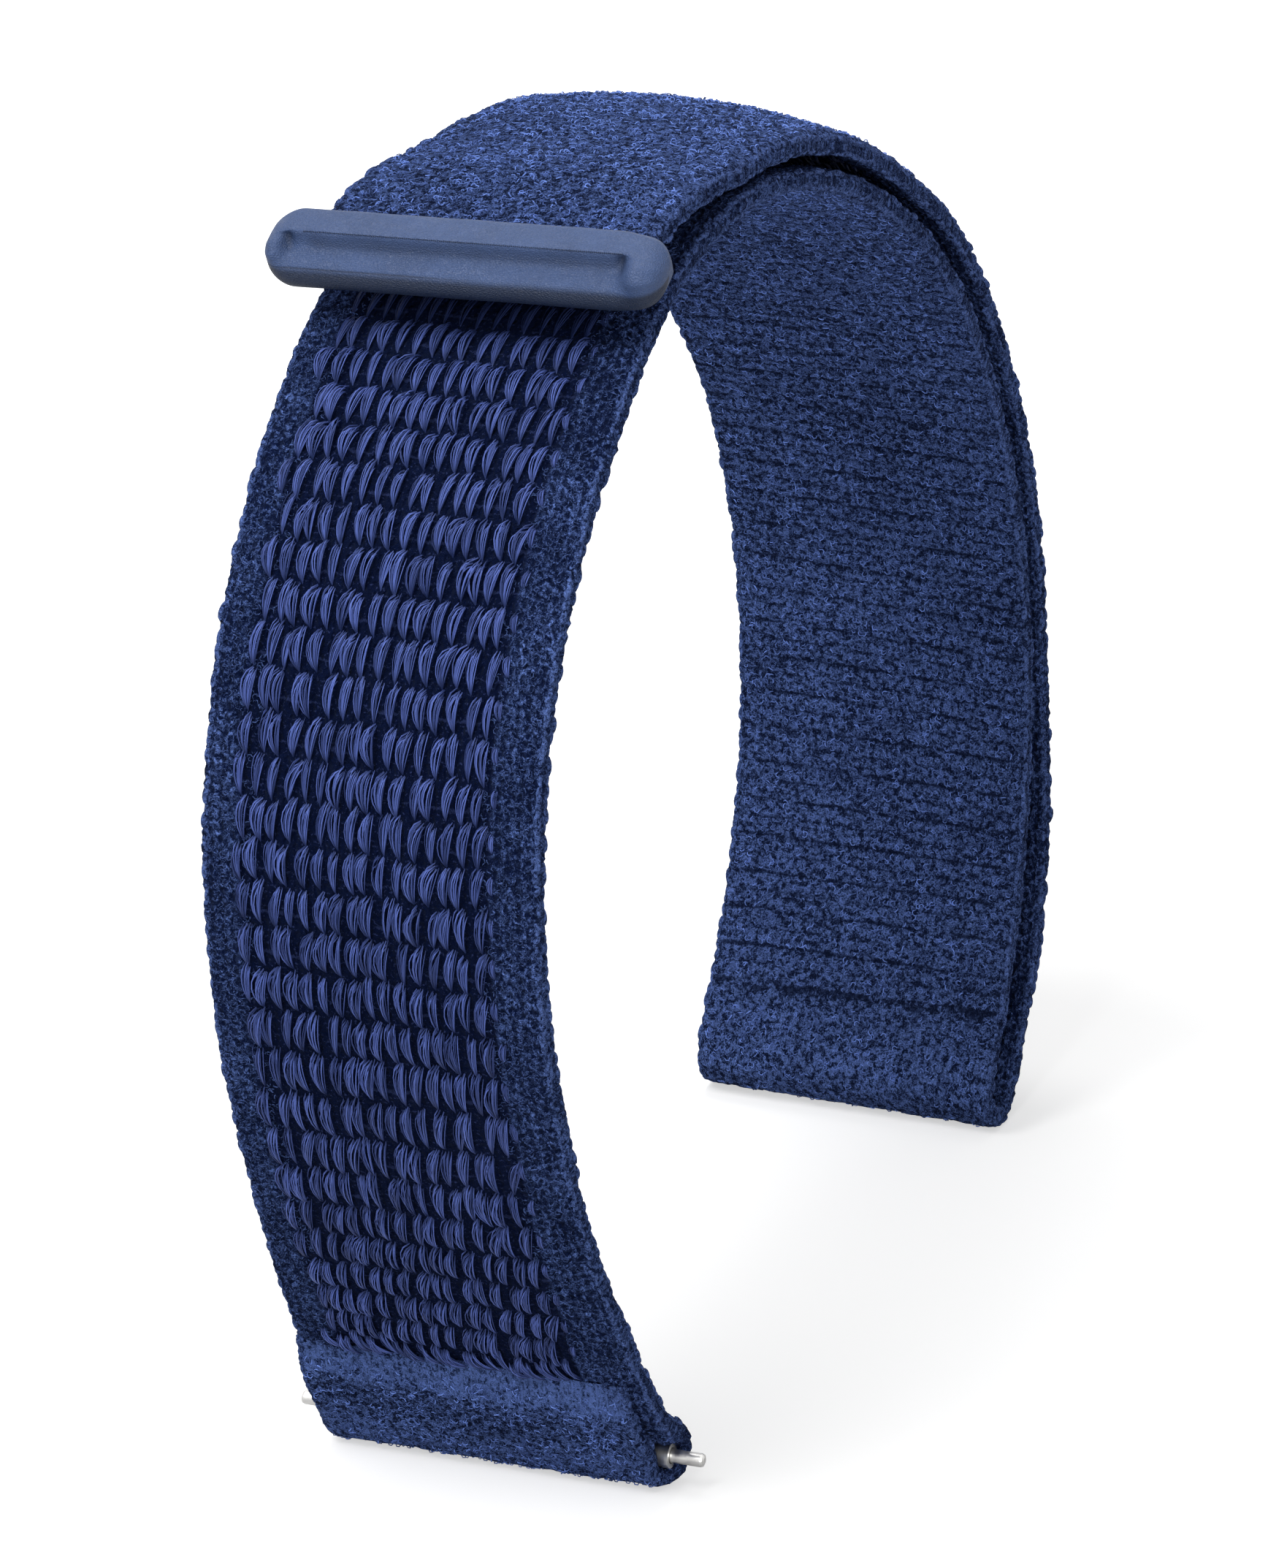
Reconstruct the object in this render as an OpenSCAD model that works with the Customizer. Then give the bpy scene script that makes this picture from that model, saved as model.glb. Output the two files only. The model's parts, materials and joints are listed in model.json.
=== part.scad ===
// Woven hook-and-loop band for a fitness tracker.
// The strap leaves the near lug bar at its hem, runs up the front, over the crown and down
// the back, turns through the second lug bar at the fold, and lies back over itself to the
// stop bar on its tail. X runs from the front leg to the back leg, Y across the strap and
// Z up. The hem and the fold both stand on Z = 0.

/* [Strap] */
// Width of the woven strap
strap_w = 20; // [16:0.5:24]
// Thickness of the plain woven web
web_t = 1.3; // [1.1:0.05:1.5]
// Plain edge on each side of the loop pile
selvedge_w = 2.35; // [1.5:0.05:4]
// Height of the loop pile over the web
pile_h = 0.6; // [0.3:0.05:0.8]

/* [Course of the inner run] */
// Radius of the front leg
front_r = 94; // [85:1:110]
// Angle that the front leg turns through
front_a = 20; // [16:1:24]
// Radius of the shoulder and crown
crown_r = 31; // [28:0.5:35]
// Angle that the shoulder and crown turn through
crown_a = 117; // [112:1:122]
// Radius of the back leg
back_r = 56; // [50:0.5:62]
// Angle that the back leg turns through
back_a = 49; // [45:1:53]
// Radius of the heel above the fold
heel_r = 39; // [35:0.5:43]
// Angle that the heel turns through
heel_a = 66; // [61:1:70]

/* [Layers] */
// Running gap between the two facing pile layers
layer_gap = 0.3; // [0.3:0.05:0.6]
// Radius of the lug bar space inside the fold
fold_bore_r = 1.5; // [1.2:0.05:1.8]
// Extra spread of the two layers just above the fold
loop_spread = 0.5; // [0:0.05:0.8]
// Distance from the fold to where the layers are furthest apart
loop_len = 9; // [7:0.5:12]
// Distance from the fold to where the layers have come together
meet_len = 25; // [20:1:30]
// Extra spread of the two layers along the back leg
back_spread = 0.2; // [0:0.05:0.6]
// Length of back leg that keeps this spread
back_len = 27; // [20:1:32]
// Length past the peel line over which the tail closes down
close_len = 10; // [8:1:14]
// Extra lift of the tail at the stop bar
tail_lift = 2.05; // [1.2:0.05:2.4]
// Length over which the tail lifts
lift_len = 14; // [10:1:18]
// Length of tail beyond the lift, with the stop bar on it
lift_flat = 4; // [3:0.5:6]
// Plain strap on each side of the fold, with no pile
fold_plain = 8; // [4:0.5:12]

/* [Tail] */
// Length of the outer run from the fold to its cut end
tail_len = 113.5; // [109:0.5:118]
// Distance from the fold to the line where the tail lifts off
peel_from_fold = 70; // [62:1:76]
// Length of the hook patch
hook_len = 27; // [16:1:29]
// Thickness of the hook patch
hook_t = 0.6; // [0.3:0.05:0.6]
// Bare tail between the stop bar and the hook patch
hook_inset = 1; // [0.5:0.1:3]

/* [Stop bar] */
// Length of the stop bar across the strap
bar_len = 23.6; // [20:0.1:30]
// Width of the stop bar along the strap
bar_w = 3.4; // [3:0.1:4.4]
// Height of the outer shell above the middle of the tail
bar_out = 1.45; // [1.3:0.05:1.9]
// Depth of the inner shell below the middle of the tail
bar_in = 1.2; // [1:0.05:1.3]
// Depth of strap end held in the stop bar
bar_grip = 2.4; // [2:0.1:2.6]
// Width of the flat on top, from the back edge to the crease
bar_flat = 1.85; // [1.4:0.05:2.4]
// Height of the upright nose above the middle of the tail
bar_nose = 0.25; // [0:0.05:0.5]
// Radius under the nose
bar_heel_r = 0.6; // [0.3:0.05:0.7]
// Radius of the stop bar's back edges
bar_edge_r = 0.3; // [0.1:0.05:0.4]

/* [Hem] */
// Width of the folded hem, which is pressed wider than the strap
hem_w = 21.4; // [20:0.1:25]
// Height above the ground where the strap starts to widen towards the hem
flare_top = 18; // [12:1:24]
// Radius of the channel that the spring bar lies in
channel_r = 0.8; // [0.78:0.01:0.85]
// Wall of fabric round the channel
hem_wall = 1.1; // [0.9:0.05:1.3]
// Height of the folded hem above the middle of the channel
hem_h = 4.7; // [4:0.1:6]
// Thickness of the pressed flap
flap_t = 0.9; // [0.7:0.05:1]
// Thickness of the bonding film under the flap
film_t = 0.15; // [0.1:0.01:0.2]
// Distance from the channel to the line where the front leg flexes
flex_h = 30; // [22:1:36]
// Space left between the two parts at the flex line
flex_gap = 0.6; // [0.6:0.05:0.8]
// Space left between the two parts at the peel line
peel_gap = 0.3; // [0.3:0.05:0.6]

/* [Spring bar] */
// Radius of the spring bar's tube
tube_r = 0.7; // [0.67:0.01:0.72]
// Radius of the tube's end rims
rim_r = 0.75; // [0.73:0.01:0.76]
// Radius of the tube's bore
tube_bore_r = 0.62; // [0.61:0.01:0.64]
// Thickness of each end rim along the bar
rim_t = 0.4; // [0.3:0.05:0.6]
// Inset of each rim from the edge of the hem
tube_inset = 0.3; // [0.1:0.05:0.6]
// Radius of the pin tips
tip_r = 0.4; // [0.35:0.01:0.42]
// How much the pin narrows from its shank's end to the edge of the hem
neck_taper = 0.03; // [0.02:0.01:0.04]
// Length of pin tip outside the hem
tip_out = 1.7; // [1.4:0.1:2]
// Length of pin shank inside the tube
shank_l = 3; // [2:0.1:4]
// Radial clearance of the pins in the tube
pin_clear = 0.05; // [0.03:0.01:0.06]
// Radius of the spring wire
wire_r = 0.08; // [0.06:0.01:0.1]
// Number of turns of the pin spring
spring_turns = 14; // [8:1:16]

/* [Hidden] */
$fn = 64;

// Colours of the weave, the pile, the moulding and the metal
web_c = [0.20, 0.27, 0.47];
pile_c = [0.16, 0.20, 0.42];
hook_c = [0.12, 0.16, 0.32];
film_c = [0.55, 0.60, 0.70];
bar_c = [0.29, 0.37, 0.54];
steel_c = [0.78, 0.78, 0.80];

// Length along the strap between two neighbouring points of its outline
grid = 1.25;
// Small overlap that joins shapes of one piece and lets cutting shapes pass through a face
eps = 0.01;
// How far the bore of the fold is cut into the flat faces that lead up to it
bore_step = 0.02;
// Number of flats on the outside of the fold
fold_flats = 30;

hem_r = channel_r + hem_wall;
pile_w = strap_w - 2 * selvedge_w;
half_t = web_t / 2;
// Distance between the middles of the two layers where they lie closest
layer_c = web_t + 2 * pile_h + layer_gap;
// The flat faces stand a little inside the bore of the fold, so that the two cross cleanly
fold_c = 2 * (fold_bore_r - bore_step) + web_t;
fold_r = fold_c / 2 + half_t;

// The four tangent arcs of the inner run, as radius and turn
arcs = [[front_r, front_a], [crown_r, crown_a], [back_r, back_a], [heel_r, heel_a]];

function arc_len(i) = arcs[i][0] * arcs[i][1] * PI / 180;
function sum_len(i) = i <= 0 ? 0 : sum_len(i - 1) + arc_len(i - 1);
function sum_turn(i) = i <= 0 ? 0 : sum_turn(i - 1) + arcs[i - 1][1];
run_len = sum_len(len(arcs));

// Which arc a length s along the run lies on
function arc_at(s, i = 0) = i >= len(arcs) - 1 || s <= sum_len(i + 1) ? i : arc_at(s, i + 1);

// Point on an arc of radius r that starts along +X and turns right by the angle a
function arc_step(r, a) = [r * sin(a), -r * (1 - cos(a))];
function turned(p, a) = [p.x * cos(a) - p.y * sin(a), p.x * sin(a) + p.y * cos(a)];
function arc_start(i) = i <= 0 ? [0, 0] :
    arc_start(i - 1) + turned(arc_step(arcs[i - 1][0], arcs[i - 1][1]), -sum_turn(i - 1));

// Place and heading on the run before it is stood up: it starts at the origin along +X
function raw_turn(s) = let (i = arc_at(s)) sum_turn(i) + (s - sum_len(i)) / arcs[i][0] * 180 / PI;
function raw_place(s) = let (i = arc_at(s))
    arc_start(i) + turned(arc_step(arcs[i][0], raw_turn(s) - sum_turn(i)), -sum_turn(i));
function raw_at(s, o) = raw_place(s) + o * turned([0, 1], -raw_turn(s));

// Distance of the outer layer's middle from the inner layer's middle, by stations that are
// counted back from the fold: [distance from the fold, offset]
tail_end = run_len - tail_len;
stations = [
    [0, fold_c],
    [loop_len, fold_c + loop_spread],
    [meet_len, layer_c + back_spread],
    [meet_len + back_len, layer_c + back_spread],
    [peel_from_fold + close_len, layer_c],
    [tail_len - lift_flat - lift_len, layer_c],
    [tail_len - lift_flat, layer_c + tail_lift],
    [run_len, layer_c + tail_lift]
];
function station_at(d, i = 0) =
    i >= len(stations) - 2 || d <= stations[i + 1][0] ? i : station_at(d, i + 1);
function ease(u) = (1 - cos(180 * u)) / 2;
function outer_c(s) = let (
        d = max(run_len - s, 0),
        i = station_at(d),
        a = stations[i],
        b = stations[i + 1]
    ) a[1] + (b[1] - a[1]) * ease((d - a[0]) / (b[0] - a[0]));

// The run is turned so that the round of the hem and the round of the fold share a ground line
fold_raw = raw_at(run_len, fold_c / 2);
lean = asin((fold_r - hem_r) / norm(fold_raw)) - atan2(fold_raw.y, fold_raw.x);
function stood(p) = turned(p, lean) + [0, hem_r];
function heading(s) = lean - raw_turn(s);

// The middle of the part's overall length, taken from its outermost points
run_grid = [for (s = [0:grid:run_len]) s];
span = [for (s = run_grid) stood(raw_at(s, outer_c(s) + half_t)).x];
front_span = [for (s = run_grid) stood(raw_at(s, half_t + pile_h)).x];
mid_x = (min(front_span) + max(span)) / 2;

// Point at the length s along the inner run, o outwards from the middle of its web
function at(s, o) = stood(raw_at(s, o)) - [mid_x, 0];

// Lengths along the run from s0 to s1, on the common grid and at both ends
function steps(s0, s1) = concat(
    [s0],
    [for (k = [floor(s0 / grid) + 1 : ceil(s1 / grid) - 1]) k * grid],
    [s1]
);

peel_s = run_len - peel_from_fold;
bar_s = tail_end - bar_w + bar_grip + bar_w / 2;
hook_end = bar_s + bar_w / 2 + hook_inset + hook_len;
fold_mid = at(run_len, fold_c / 2);
hem_mid = at(0, 0);
tube_l = hem_w - 2 * tube_inset;
shank_r = tube_bore_r - pin_clear;
neck_r = tip_r + neck_taper;
rim_bore_r = neck_r + pin_clear;

// A flat layer of the inner run from s0 to s1, between the offsets lo and hi
module inner_layer(s0, s1, lo, hi, w) {
    s = steps(s0, s1);
    n = len(s) - 1;
    rotate([90, 0, 0])
        linear_extrude(w, center = true)
            polygon(concat(
                [for (v = s) at(v, lo)],
                [for (k = [0:n]) at(s[n - k], hi)]
            ));
}

// A flat layer of the outer run, its offsets taken from the middle of the outer web
module outer_layer(s0, s1, lo, hi, w) {
    s = steps(s0, s1);
    n = len(s) - 1;
    rotate([90, 0, 0])
        linear_extrude(w, center = true)
            polygon(concat(
                [for (v = s) at(v, outer_c(v) + lo)],
                [for (k = [0:n]) at(s[n - k], outer_c(s[n - k]) + hi)]
            ));
}

// Point on the outside of the fold, at the angle a from the inner layer's free face
function fold_edge(a) =
    fold_mid + fold_r * turned([sin(a), -cos(a)], heading(run_len));

// Stands children in the part at a point: their X along the strap, their Z outwards
module on_strap(s, o) {
    p = at(s, o);
    translate([p.x, 0, p.y])
        rotate([0, -heading(s), 0])
            children();
}

// A round bar or bore of length l across the strap, at a point of the side view
module across(p, r, l) {
    translate([p.x, 0, p.y])
        rotate([90, 0, 0])
            cylinder(r = r, h = l, center = true);
}

// Trims its children, which are as wide as the hem, to the taper between hem and strap
module flared() {
    hem_top = at(hem_h, 0).y;
    w = strap_w / 2;
    h = hem_w / 2;
    intersection() {
        children();
        rotate([90, 0, 90])
            linear_extrude(3 * run_len, center = true)
                polygon([
                    [-h, -1], [h, -1], [h, hem_top], [w, flare_top], [w, run_len],
                    [-w, run_len], [-w, flare_top], [-h, hem_top]
                ]);
    }
}

// Front leg below the flex line, with its folded hem and the spring bar's channel
module leg_web() {
    color(web_c)
        difference() {
            flared() {
                inner_layer(hem_r, flex_h - flex_gap / 2, -half_t, half_t, hem_w);
                across(hem_mid, hem_r, hem_w);
                rotate([90, 0, 0])
                    linear_extrude(hem_w, center = true)
                        polygon([
                            at(0, -hem_r), at(hem_h, -half_t), at(hem_h, half_t + flap_t), at(0, hem_r)
                        ]);
            }
            across(hem_mid, channel_r, hem_w + 2);
            film_slab(hem_h + eps, hem_w + 2);
        }
}

// The space between the flap and the leg, up to the length s
module film_slab(s, w) {
    inner_layer(hem_r, s, half_t, half_t + film_t, w);
}

module hem_bond() {
    color(film_c)
        film_slab(hem_h, hem_w);
}

// Upper front, crown, back leg, fold and outer run as far as the peel line
module strap_web() {
    up = steps(flex_h + flex_gap / 2, run_len);
    back = steps(peel_s + peel_gap / 2, run_len);
    n = len(up) - 1;
    m = len(back) - 1;
    color(web_c)
        difference() {
            rotate([90, 0, 0])
                linear_extrude(strap_w, center = true)
                    polygon(concat(
                        [for (v = up) at(v, -half_t)],
                        [for (k = [1:fold_flats - 1]) fold_edge(180 * k / fold_flats)],
                        [for (k = [0:m]) at(back[m - k], outer_c(back[m - k]) + half_t)],
                        [for (v = back) at(v, outer_c(v) - half_t)],
                        [for (k = [0:n]) at(up[n - k], half_t)]
                    ));
            across(fold_mid, fold_bore_r, strap_w + 2);
        }
}

// Free end of the outer run, from the peel line to the stop bar
module tail_web() {
    color(web_c)
        outer_layer(tail_end, peel_s - peel_gap / 2, -half_t, half_t, strap_w);
}

module leg_pile() {
    color(pile_c)
        inner_layer(hem_h + layer_gap, flex_h - flex_gap / 2, half_t, half_t + pile_h, pile_w);
}

module inner_pile() {
    color(pile_c)
        inner_layer(
            flex_h + flex_gap / 2, run_len - fold_plain, half_t, half_t + pile_h, pile_w);
}

module outer_pile() {
    color(pile_c)
        outer_layer(
            peel_s + peel_gap / 2, run_len - fold_plain, -half_t - pile_h, -half_t, pile_w);
}

module tail_pile() {
    color(pile_c)
        outer_layer(hook_end, peel_s - peel_gap / 2, -half_t - pile_h, -half_t, pile_w);
}

module hook_patch() {
    color(hook_c)
        outer_layer(hook_end - hook_len, hook_end, -half_t - hook_t, -half_t, pile_w);
}

// Cuts the corner of a profile at a point to the radius r, towards the side q
module corner_cut(p, q, r) {
    translate([p.x - q.x * r, p.y - q.y * r])
        difference() {
            translate([q.x > 0 ? 0 : -r - eps, q.y > 0 ? 0 : -r - eps])
                square(r + eps);
            circle(r);
        }
}

// Side profile of the whole stop bar: X along the strap, Y outwards from the tail's middle
module bar_profile() {
    front = -bar_w / 2;
    crease = bar_w / 2 - bar_flat;
    difference() {
        translate([front, -bar_in])
            square([bar_w, bar_in + bar_out]);
        polygon([
            [front - 1, bar_nose], [front, bar_nose], [crease, bar_out],
            [crease, bar_out + 1], [front - 1, bar_out + 1]
        ]);
        corner_cut([bar_w / 2, bar_out], [1, 1], bar_edge_r);
        corner_cut([front, -bar_in], [-1, -1], bar_heel_r);
        corner_cut([bar_w / 2, -bar_in], [1, -1], bar_edge_r);
    }
}

// Outline of the stop bar seen from outside: a straight bar with half-round ends
module bar_outline() {
    square([bar_w, bar_len - bar_w], center = true);
    for (side = [-1, 1])
        translate([0, side * (bar_len - bar_w) / 2])
            circle(bar_w / 2);
}

// One shell of the stop bar, above (side = 1) or below (side = -1) the tail's middle
module bar_shell(side) {
    h = bar_in + bar_out + 2;
    difference() {
        on_strap(bar_s, outer_c(bar_s))
            intersection() {
                rotate([90, 0, 0])
                    linear_extrude(bar_len + 2, center = true)
                        bar_profile();
                linear_extrude(h, center = true)
                    bar_outline();
                translate([0, 0, side * h / 2])
                    cube([bar_w + 2, bar_len + 2, h], center = true);
            }
        outer_layer(tail_end, bar_s + bar_w, -half_t, half_t, strap_w);
    }
}

module stop_bar_outer() {
    color(bar_c)
        bar_shell(1);
}

module stop_bar_inner() {
    color(bar_c)
        bar_shell(-1);
}

// Turns a half profile of [radius, place along the bar] round the spring bar's axis
module on_bar(profile) {
    translate([hem_mid.x, 0, hem_mid.y])
        rotate([90, 0, 0])
            rotate_extrude()
                polygon(profile);
}

// Thin tube with a rim at each end that keeps the pins in
module spring_bar_tube() {
    e = tube_l / 2;
    color(steel_c)
        on_bar([
            [rim_bore_r, -e], [rim_r, -e], [rim_r, -e + rim_t], [tube_r, -e + rim_t],
            [tube_r, e - rim_t], [rim_r, e - rim_t], [rim_r, e], [rim_bore_r, e],
            [rim_bore_r, e - rim_t], [tube_bore_r, e - rim_t],
            [tube_bore_r, -e + rim_t], [rim_bore_r, -e + rim_t]
        ]);
}

// A pin with its shank in the tube and its domed tip outside; side is -1 at the far edge
module lug_pin(side) {
    edge = hem_w / 2;
    tip = edge + tip_out;
    neck = tube_l / 2 - rim_t - pin_clear;
    dome = tip_r / 2;
    translate([hem_mid.x, 0, hem_mid.y])
        rotate([90 * side, 0, 0])
            rotate_extrude()
                polygon([
                    [0, neck - shank_l], [shank_r, neck - shank_l], [shank_r, neck],
                    [neck_r, neck], [tip_r, edge], [tip_r, tip - dome],
                    [tip_r - dome / 4, tip - dome / 3], [tip_r - dome, tip], [0, tip]
                ]);
}

module near_pin() {
    color(steel_c)
        lug_pin(1);
}

module far_pin() {
    color(steel_c)
        lug_pin(-1);
}

// Coil between the two shanks: rings of points swept along a helix
module pin_spring() {
    sides = 6;
    per_turn = 10;
    rings = spring_turns * per_turn;
    coil_r = tube_bore_r - wire_r - pin_clear;
    room = tube_l - 2 * (rim_t + pin_clear + shank_l);
    coil_l = room - 4 * wire_r;
    points = [
        for (k = [0:rings], j = [0:sides - 1])
            let (
                turn = 360 * k / per_turn,
                r = coil_r + wire_r * cos(360 * j / sides),
                y = coil_l * (k / rings - 0.5) + wire_r * sin(360 * j / sides)
            ) [r * cos(turn), y, r * sin(turn)]
    ];
    walls = [
        for (k = [0:rings - 1], j = [0:sides - 1])
            let (a = k * sides + j, b = k * sides + (j + 1) % sides)
                each [[a, b, b + sides], [a, b + sides, a + sides]]
    ];
    start_cap = [for (j = [1:sides - 2]) [0, j + 1, j]];
    end_cap = [for (j = [1:sides - 2]) [rings * sides, rings * sides + j, rings * sides + j + 1]];
    color(steel_c)
        translate([hem_mid.x, 0, hem_mid.y])
            polyhedron(points, concat(walls, start_cap, end_cap));
}

leg_web();
strap_web();
tail_web();
leg_pile();
inner_pile();
outer_pile();
tail_pile();
hook_patch();
hem_bond();
stop_bar_outer();
stop_bar_inner();
spring_bar_tube();
near_pin();
far_pin();
pin_spring();
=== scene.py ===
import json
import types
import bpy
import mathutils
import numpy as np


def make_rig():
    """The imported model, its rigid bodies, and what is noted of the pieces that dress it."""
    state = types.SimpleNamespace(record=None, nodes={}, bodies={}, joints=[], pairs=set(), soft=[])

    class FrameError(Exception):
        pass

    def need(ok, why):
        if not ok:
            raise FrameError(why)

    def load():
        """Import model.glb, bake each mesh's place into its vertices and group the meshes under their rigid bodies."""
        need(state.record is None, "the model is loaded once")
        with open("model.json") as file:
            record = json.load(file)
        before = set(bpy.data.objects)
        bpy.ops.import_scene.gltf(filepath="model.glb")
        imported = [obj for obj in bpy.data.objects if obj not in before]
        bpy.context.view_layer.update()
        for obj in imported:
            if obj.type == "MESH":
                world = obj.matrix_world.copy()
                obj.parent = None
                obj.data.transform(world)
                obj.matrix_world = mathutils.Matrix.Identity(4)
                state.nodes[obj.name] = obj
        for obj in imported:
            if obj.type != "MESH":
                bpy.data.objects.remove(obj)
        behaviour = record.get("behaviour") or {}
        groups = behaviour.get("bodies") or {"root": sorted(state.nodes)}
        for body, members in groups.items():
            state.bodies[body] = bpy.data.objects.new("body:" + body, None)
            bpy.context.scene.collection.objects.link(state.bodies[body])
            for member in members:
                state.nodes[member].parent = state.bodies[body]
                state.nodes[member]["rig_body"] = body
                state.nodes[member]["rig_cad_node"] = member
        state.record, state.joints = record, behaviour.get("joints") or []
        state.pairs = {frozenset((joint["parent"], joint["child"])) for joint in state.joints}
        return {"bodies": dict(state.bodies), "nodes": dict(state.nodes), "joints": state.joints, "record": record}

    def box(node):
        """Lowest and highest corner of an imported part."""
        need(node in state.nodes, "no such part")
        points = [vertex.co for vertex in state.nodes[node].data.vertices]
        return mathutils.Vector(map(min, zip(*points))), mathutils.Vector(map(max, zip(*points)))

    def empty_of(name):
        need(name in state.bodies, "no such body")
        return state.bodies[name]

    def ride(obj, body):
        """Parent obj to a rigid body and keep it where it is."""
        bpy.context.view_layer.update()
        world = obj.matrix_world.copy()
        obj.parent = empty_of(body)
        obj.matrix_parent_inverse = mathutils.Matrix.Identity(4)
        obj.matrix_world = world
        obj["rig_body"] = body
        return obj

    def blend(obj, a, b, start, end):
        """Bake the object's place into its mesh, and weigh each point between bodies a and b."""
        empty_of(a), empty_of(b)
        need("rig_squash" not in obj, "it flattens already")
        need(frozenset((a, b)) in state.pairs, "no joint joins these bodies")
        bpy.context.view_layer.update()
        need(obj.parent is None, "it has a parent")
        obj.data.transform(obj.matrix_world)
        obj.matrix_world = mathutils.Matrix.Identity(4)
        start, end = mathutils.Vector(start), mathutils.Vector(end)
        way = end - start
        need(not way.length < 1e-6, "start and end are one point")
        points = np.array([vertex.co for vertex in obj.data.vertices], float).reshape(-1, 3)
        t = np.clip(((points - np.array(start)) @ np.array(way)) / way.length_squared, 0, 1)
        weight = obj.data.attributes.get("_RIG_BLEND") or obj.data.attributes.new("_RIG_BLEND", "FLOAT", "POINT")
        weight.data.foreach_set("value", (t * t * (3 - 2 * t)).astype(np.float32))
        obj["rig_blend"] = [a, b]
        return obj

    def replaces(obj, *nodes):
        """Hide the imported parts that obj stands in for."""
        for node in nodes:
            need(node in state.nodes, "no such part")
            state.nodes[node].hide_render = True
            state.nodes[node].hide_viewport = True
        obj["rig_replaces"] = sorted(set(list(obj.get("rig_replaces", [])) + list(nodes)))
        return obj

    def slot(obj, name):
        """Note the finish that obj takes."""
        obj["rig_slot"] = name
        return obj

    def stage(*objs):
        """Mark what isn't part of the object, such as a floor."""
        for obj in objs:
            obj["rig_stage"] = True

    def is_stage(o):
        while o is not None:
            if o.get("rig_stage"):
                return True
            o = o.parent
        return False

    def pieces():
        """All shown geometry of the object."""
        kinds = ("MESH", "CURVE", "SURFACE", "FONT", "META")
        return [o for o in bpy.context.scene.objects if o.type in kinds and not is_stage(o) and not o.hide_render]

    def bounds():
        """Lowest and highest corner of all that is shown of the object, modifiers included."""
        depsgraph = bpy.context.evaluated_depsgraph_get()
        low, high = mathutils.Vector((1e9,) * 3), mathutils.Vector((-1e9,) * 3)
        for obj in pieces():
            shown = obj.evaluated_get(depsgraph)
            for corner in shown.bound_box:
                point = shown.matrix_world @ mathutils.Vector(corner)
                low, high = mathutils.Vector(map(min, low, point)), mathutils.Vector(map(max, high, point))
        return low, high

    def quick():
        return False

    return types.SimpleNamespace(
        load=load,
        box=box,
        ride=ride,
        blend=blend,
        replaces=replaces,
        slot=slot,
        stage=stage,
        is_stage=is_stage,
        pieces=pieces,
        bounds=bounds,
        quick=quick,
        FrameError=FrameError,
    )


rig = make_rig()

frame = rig.load()
CAD_BOX = [list(corner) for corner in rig.bounds()]

import json
import math

import bmesh
import bpy
import numpy as np
from bpy.props import FloatProperty, FloatVectorProperty, IntProperty, PointerProperty
from mathutils import Matrix, Vector

bl_info = {
    "name": "Woven loop band",
    "version": (1, 0, 0),
    "blender": (4, 5, 0),
    "location": "3D View > Sidebar > Band",
    "description": "Dresses a woven hook-and-loop band: strap, pile, stop bar and spring bar",
    "category": "Object",
}

# Lengths in the shape code are in millimetres. MM turns them into metres when a mesh is made.
MM = 0.001

# ---- Sizes and colours that a user would change


def size(name, description, default, low, high):
    return FloatProperty(name=name, description=description, default=default, min=low, max=high,
                         unit="LENGTH")


def colour(name, description, default):
    return FloatVectorProperty(name=name, description=description, default=default,
                               subtype="COLOR", size=3, min=0, max=1)


class BandSizes(bpy.types.PropertyGroup):
    """Sizes of the fabric's detail and of the moulded bar"""

    strap_width: size("Strap width", "Width of the webbing above the hem", 0.020, 0.010, 0.040)
    column_pitch: size("Tuft pitch across", "Distance between two columns of loop tufts",
                       0.00092, 0.0005, 0.002)
    row_pitch: size("Tuft pitch along", "Distance between two rows of loop tufts",
                    0.00232, 0.0015, 0.004)
    filament_radius: size("Filament radius", "Radius of one filament of a tuft",
                          0.000032, 0.00002, 0.0001)
    tuft_bulge: size("Tuft bulge", "How far a tuft's filaments stand off the line of its ends",
                     0.00050, 0.0002, 0.001)
    bar_length: size("Stop bar length", "Length of the moulded bar across the strap",
                     0.0236, 0.015, 0.04)
    filaments: IntProperty(name="Filaments in a tuft", default=14, min=4, max=20,
                           description="Number of filaments in each tuft that shows")


class BandColours(bpy.types.PropertyGroup):
    """Colours of the yarns, the moulding and the metal, and the painted shade in the cloth's hollows"""

    yarn: colour("Yarn", "Knitted ground, selvedges and brushed face", (0.180, 0.300, 0.790))
    # Hollow shade is painted shade: creases, pits, gaps between fibres and the ground under the pile take it, and it
    # is the dark end of the filaments, curls and loops
    hollow: colour("Hollows", "Depth between the yarns", (0.0022, 0.0062, 0.032))
    pile: colour("Pile", "Filaments of the loop tufts", (0.086, 0.130, 0.400))
    bar: colour("Stop bar", "Moulded bar on the tail", (0.047, 0.082, 0.190))
    steel: colour("Steel", "Spring bar tube, pins and coil", (0.82, 0.81, 0.79))


# ---- The strap's line, which repeats the CAD source's: four tangent arcs (radius in mm, degrees)

ARCS = ((94.0, 20.0), (31.0, 117.0), (56.0, 49.0), (39.0, 66.0))
HALF_WEB = 0.65
WEB_T = 2 * HALF_WEB
HEM_R = 1.9
PILE_H = 0.6
LAYER_GAP = 0.3
LAYER_C = WEB_T + 2 * PILE_H + LAYER_GAP
FOLD_BORE_R, FOLD_SINK = 1.5, 0.02
FOLD_C = 2 * (FOLD_BORE_R - FOLD_SINK) + WEB_T
HALF_FOLD = FOLD_C / 2
FOLD_R = HALF_FOLD + HALF_WEB
FOLD_LEN = math.pi * HALF_FOLD
TAIL_LEN = 113.5
PEEL_FROM_FOLD = 70.0
MID_X_STEP = 1.25
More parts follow.
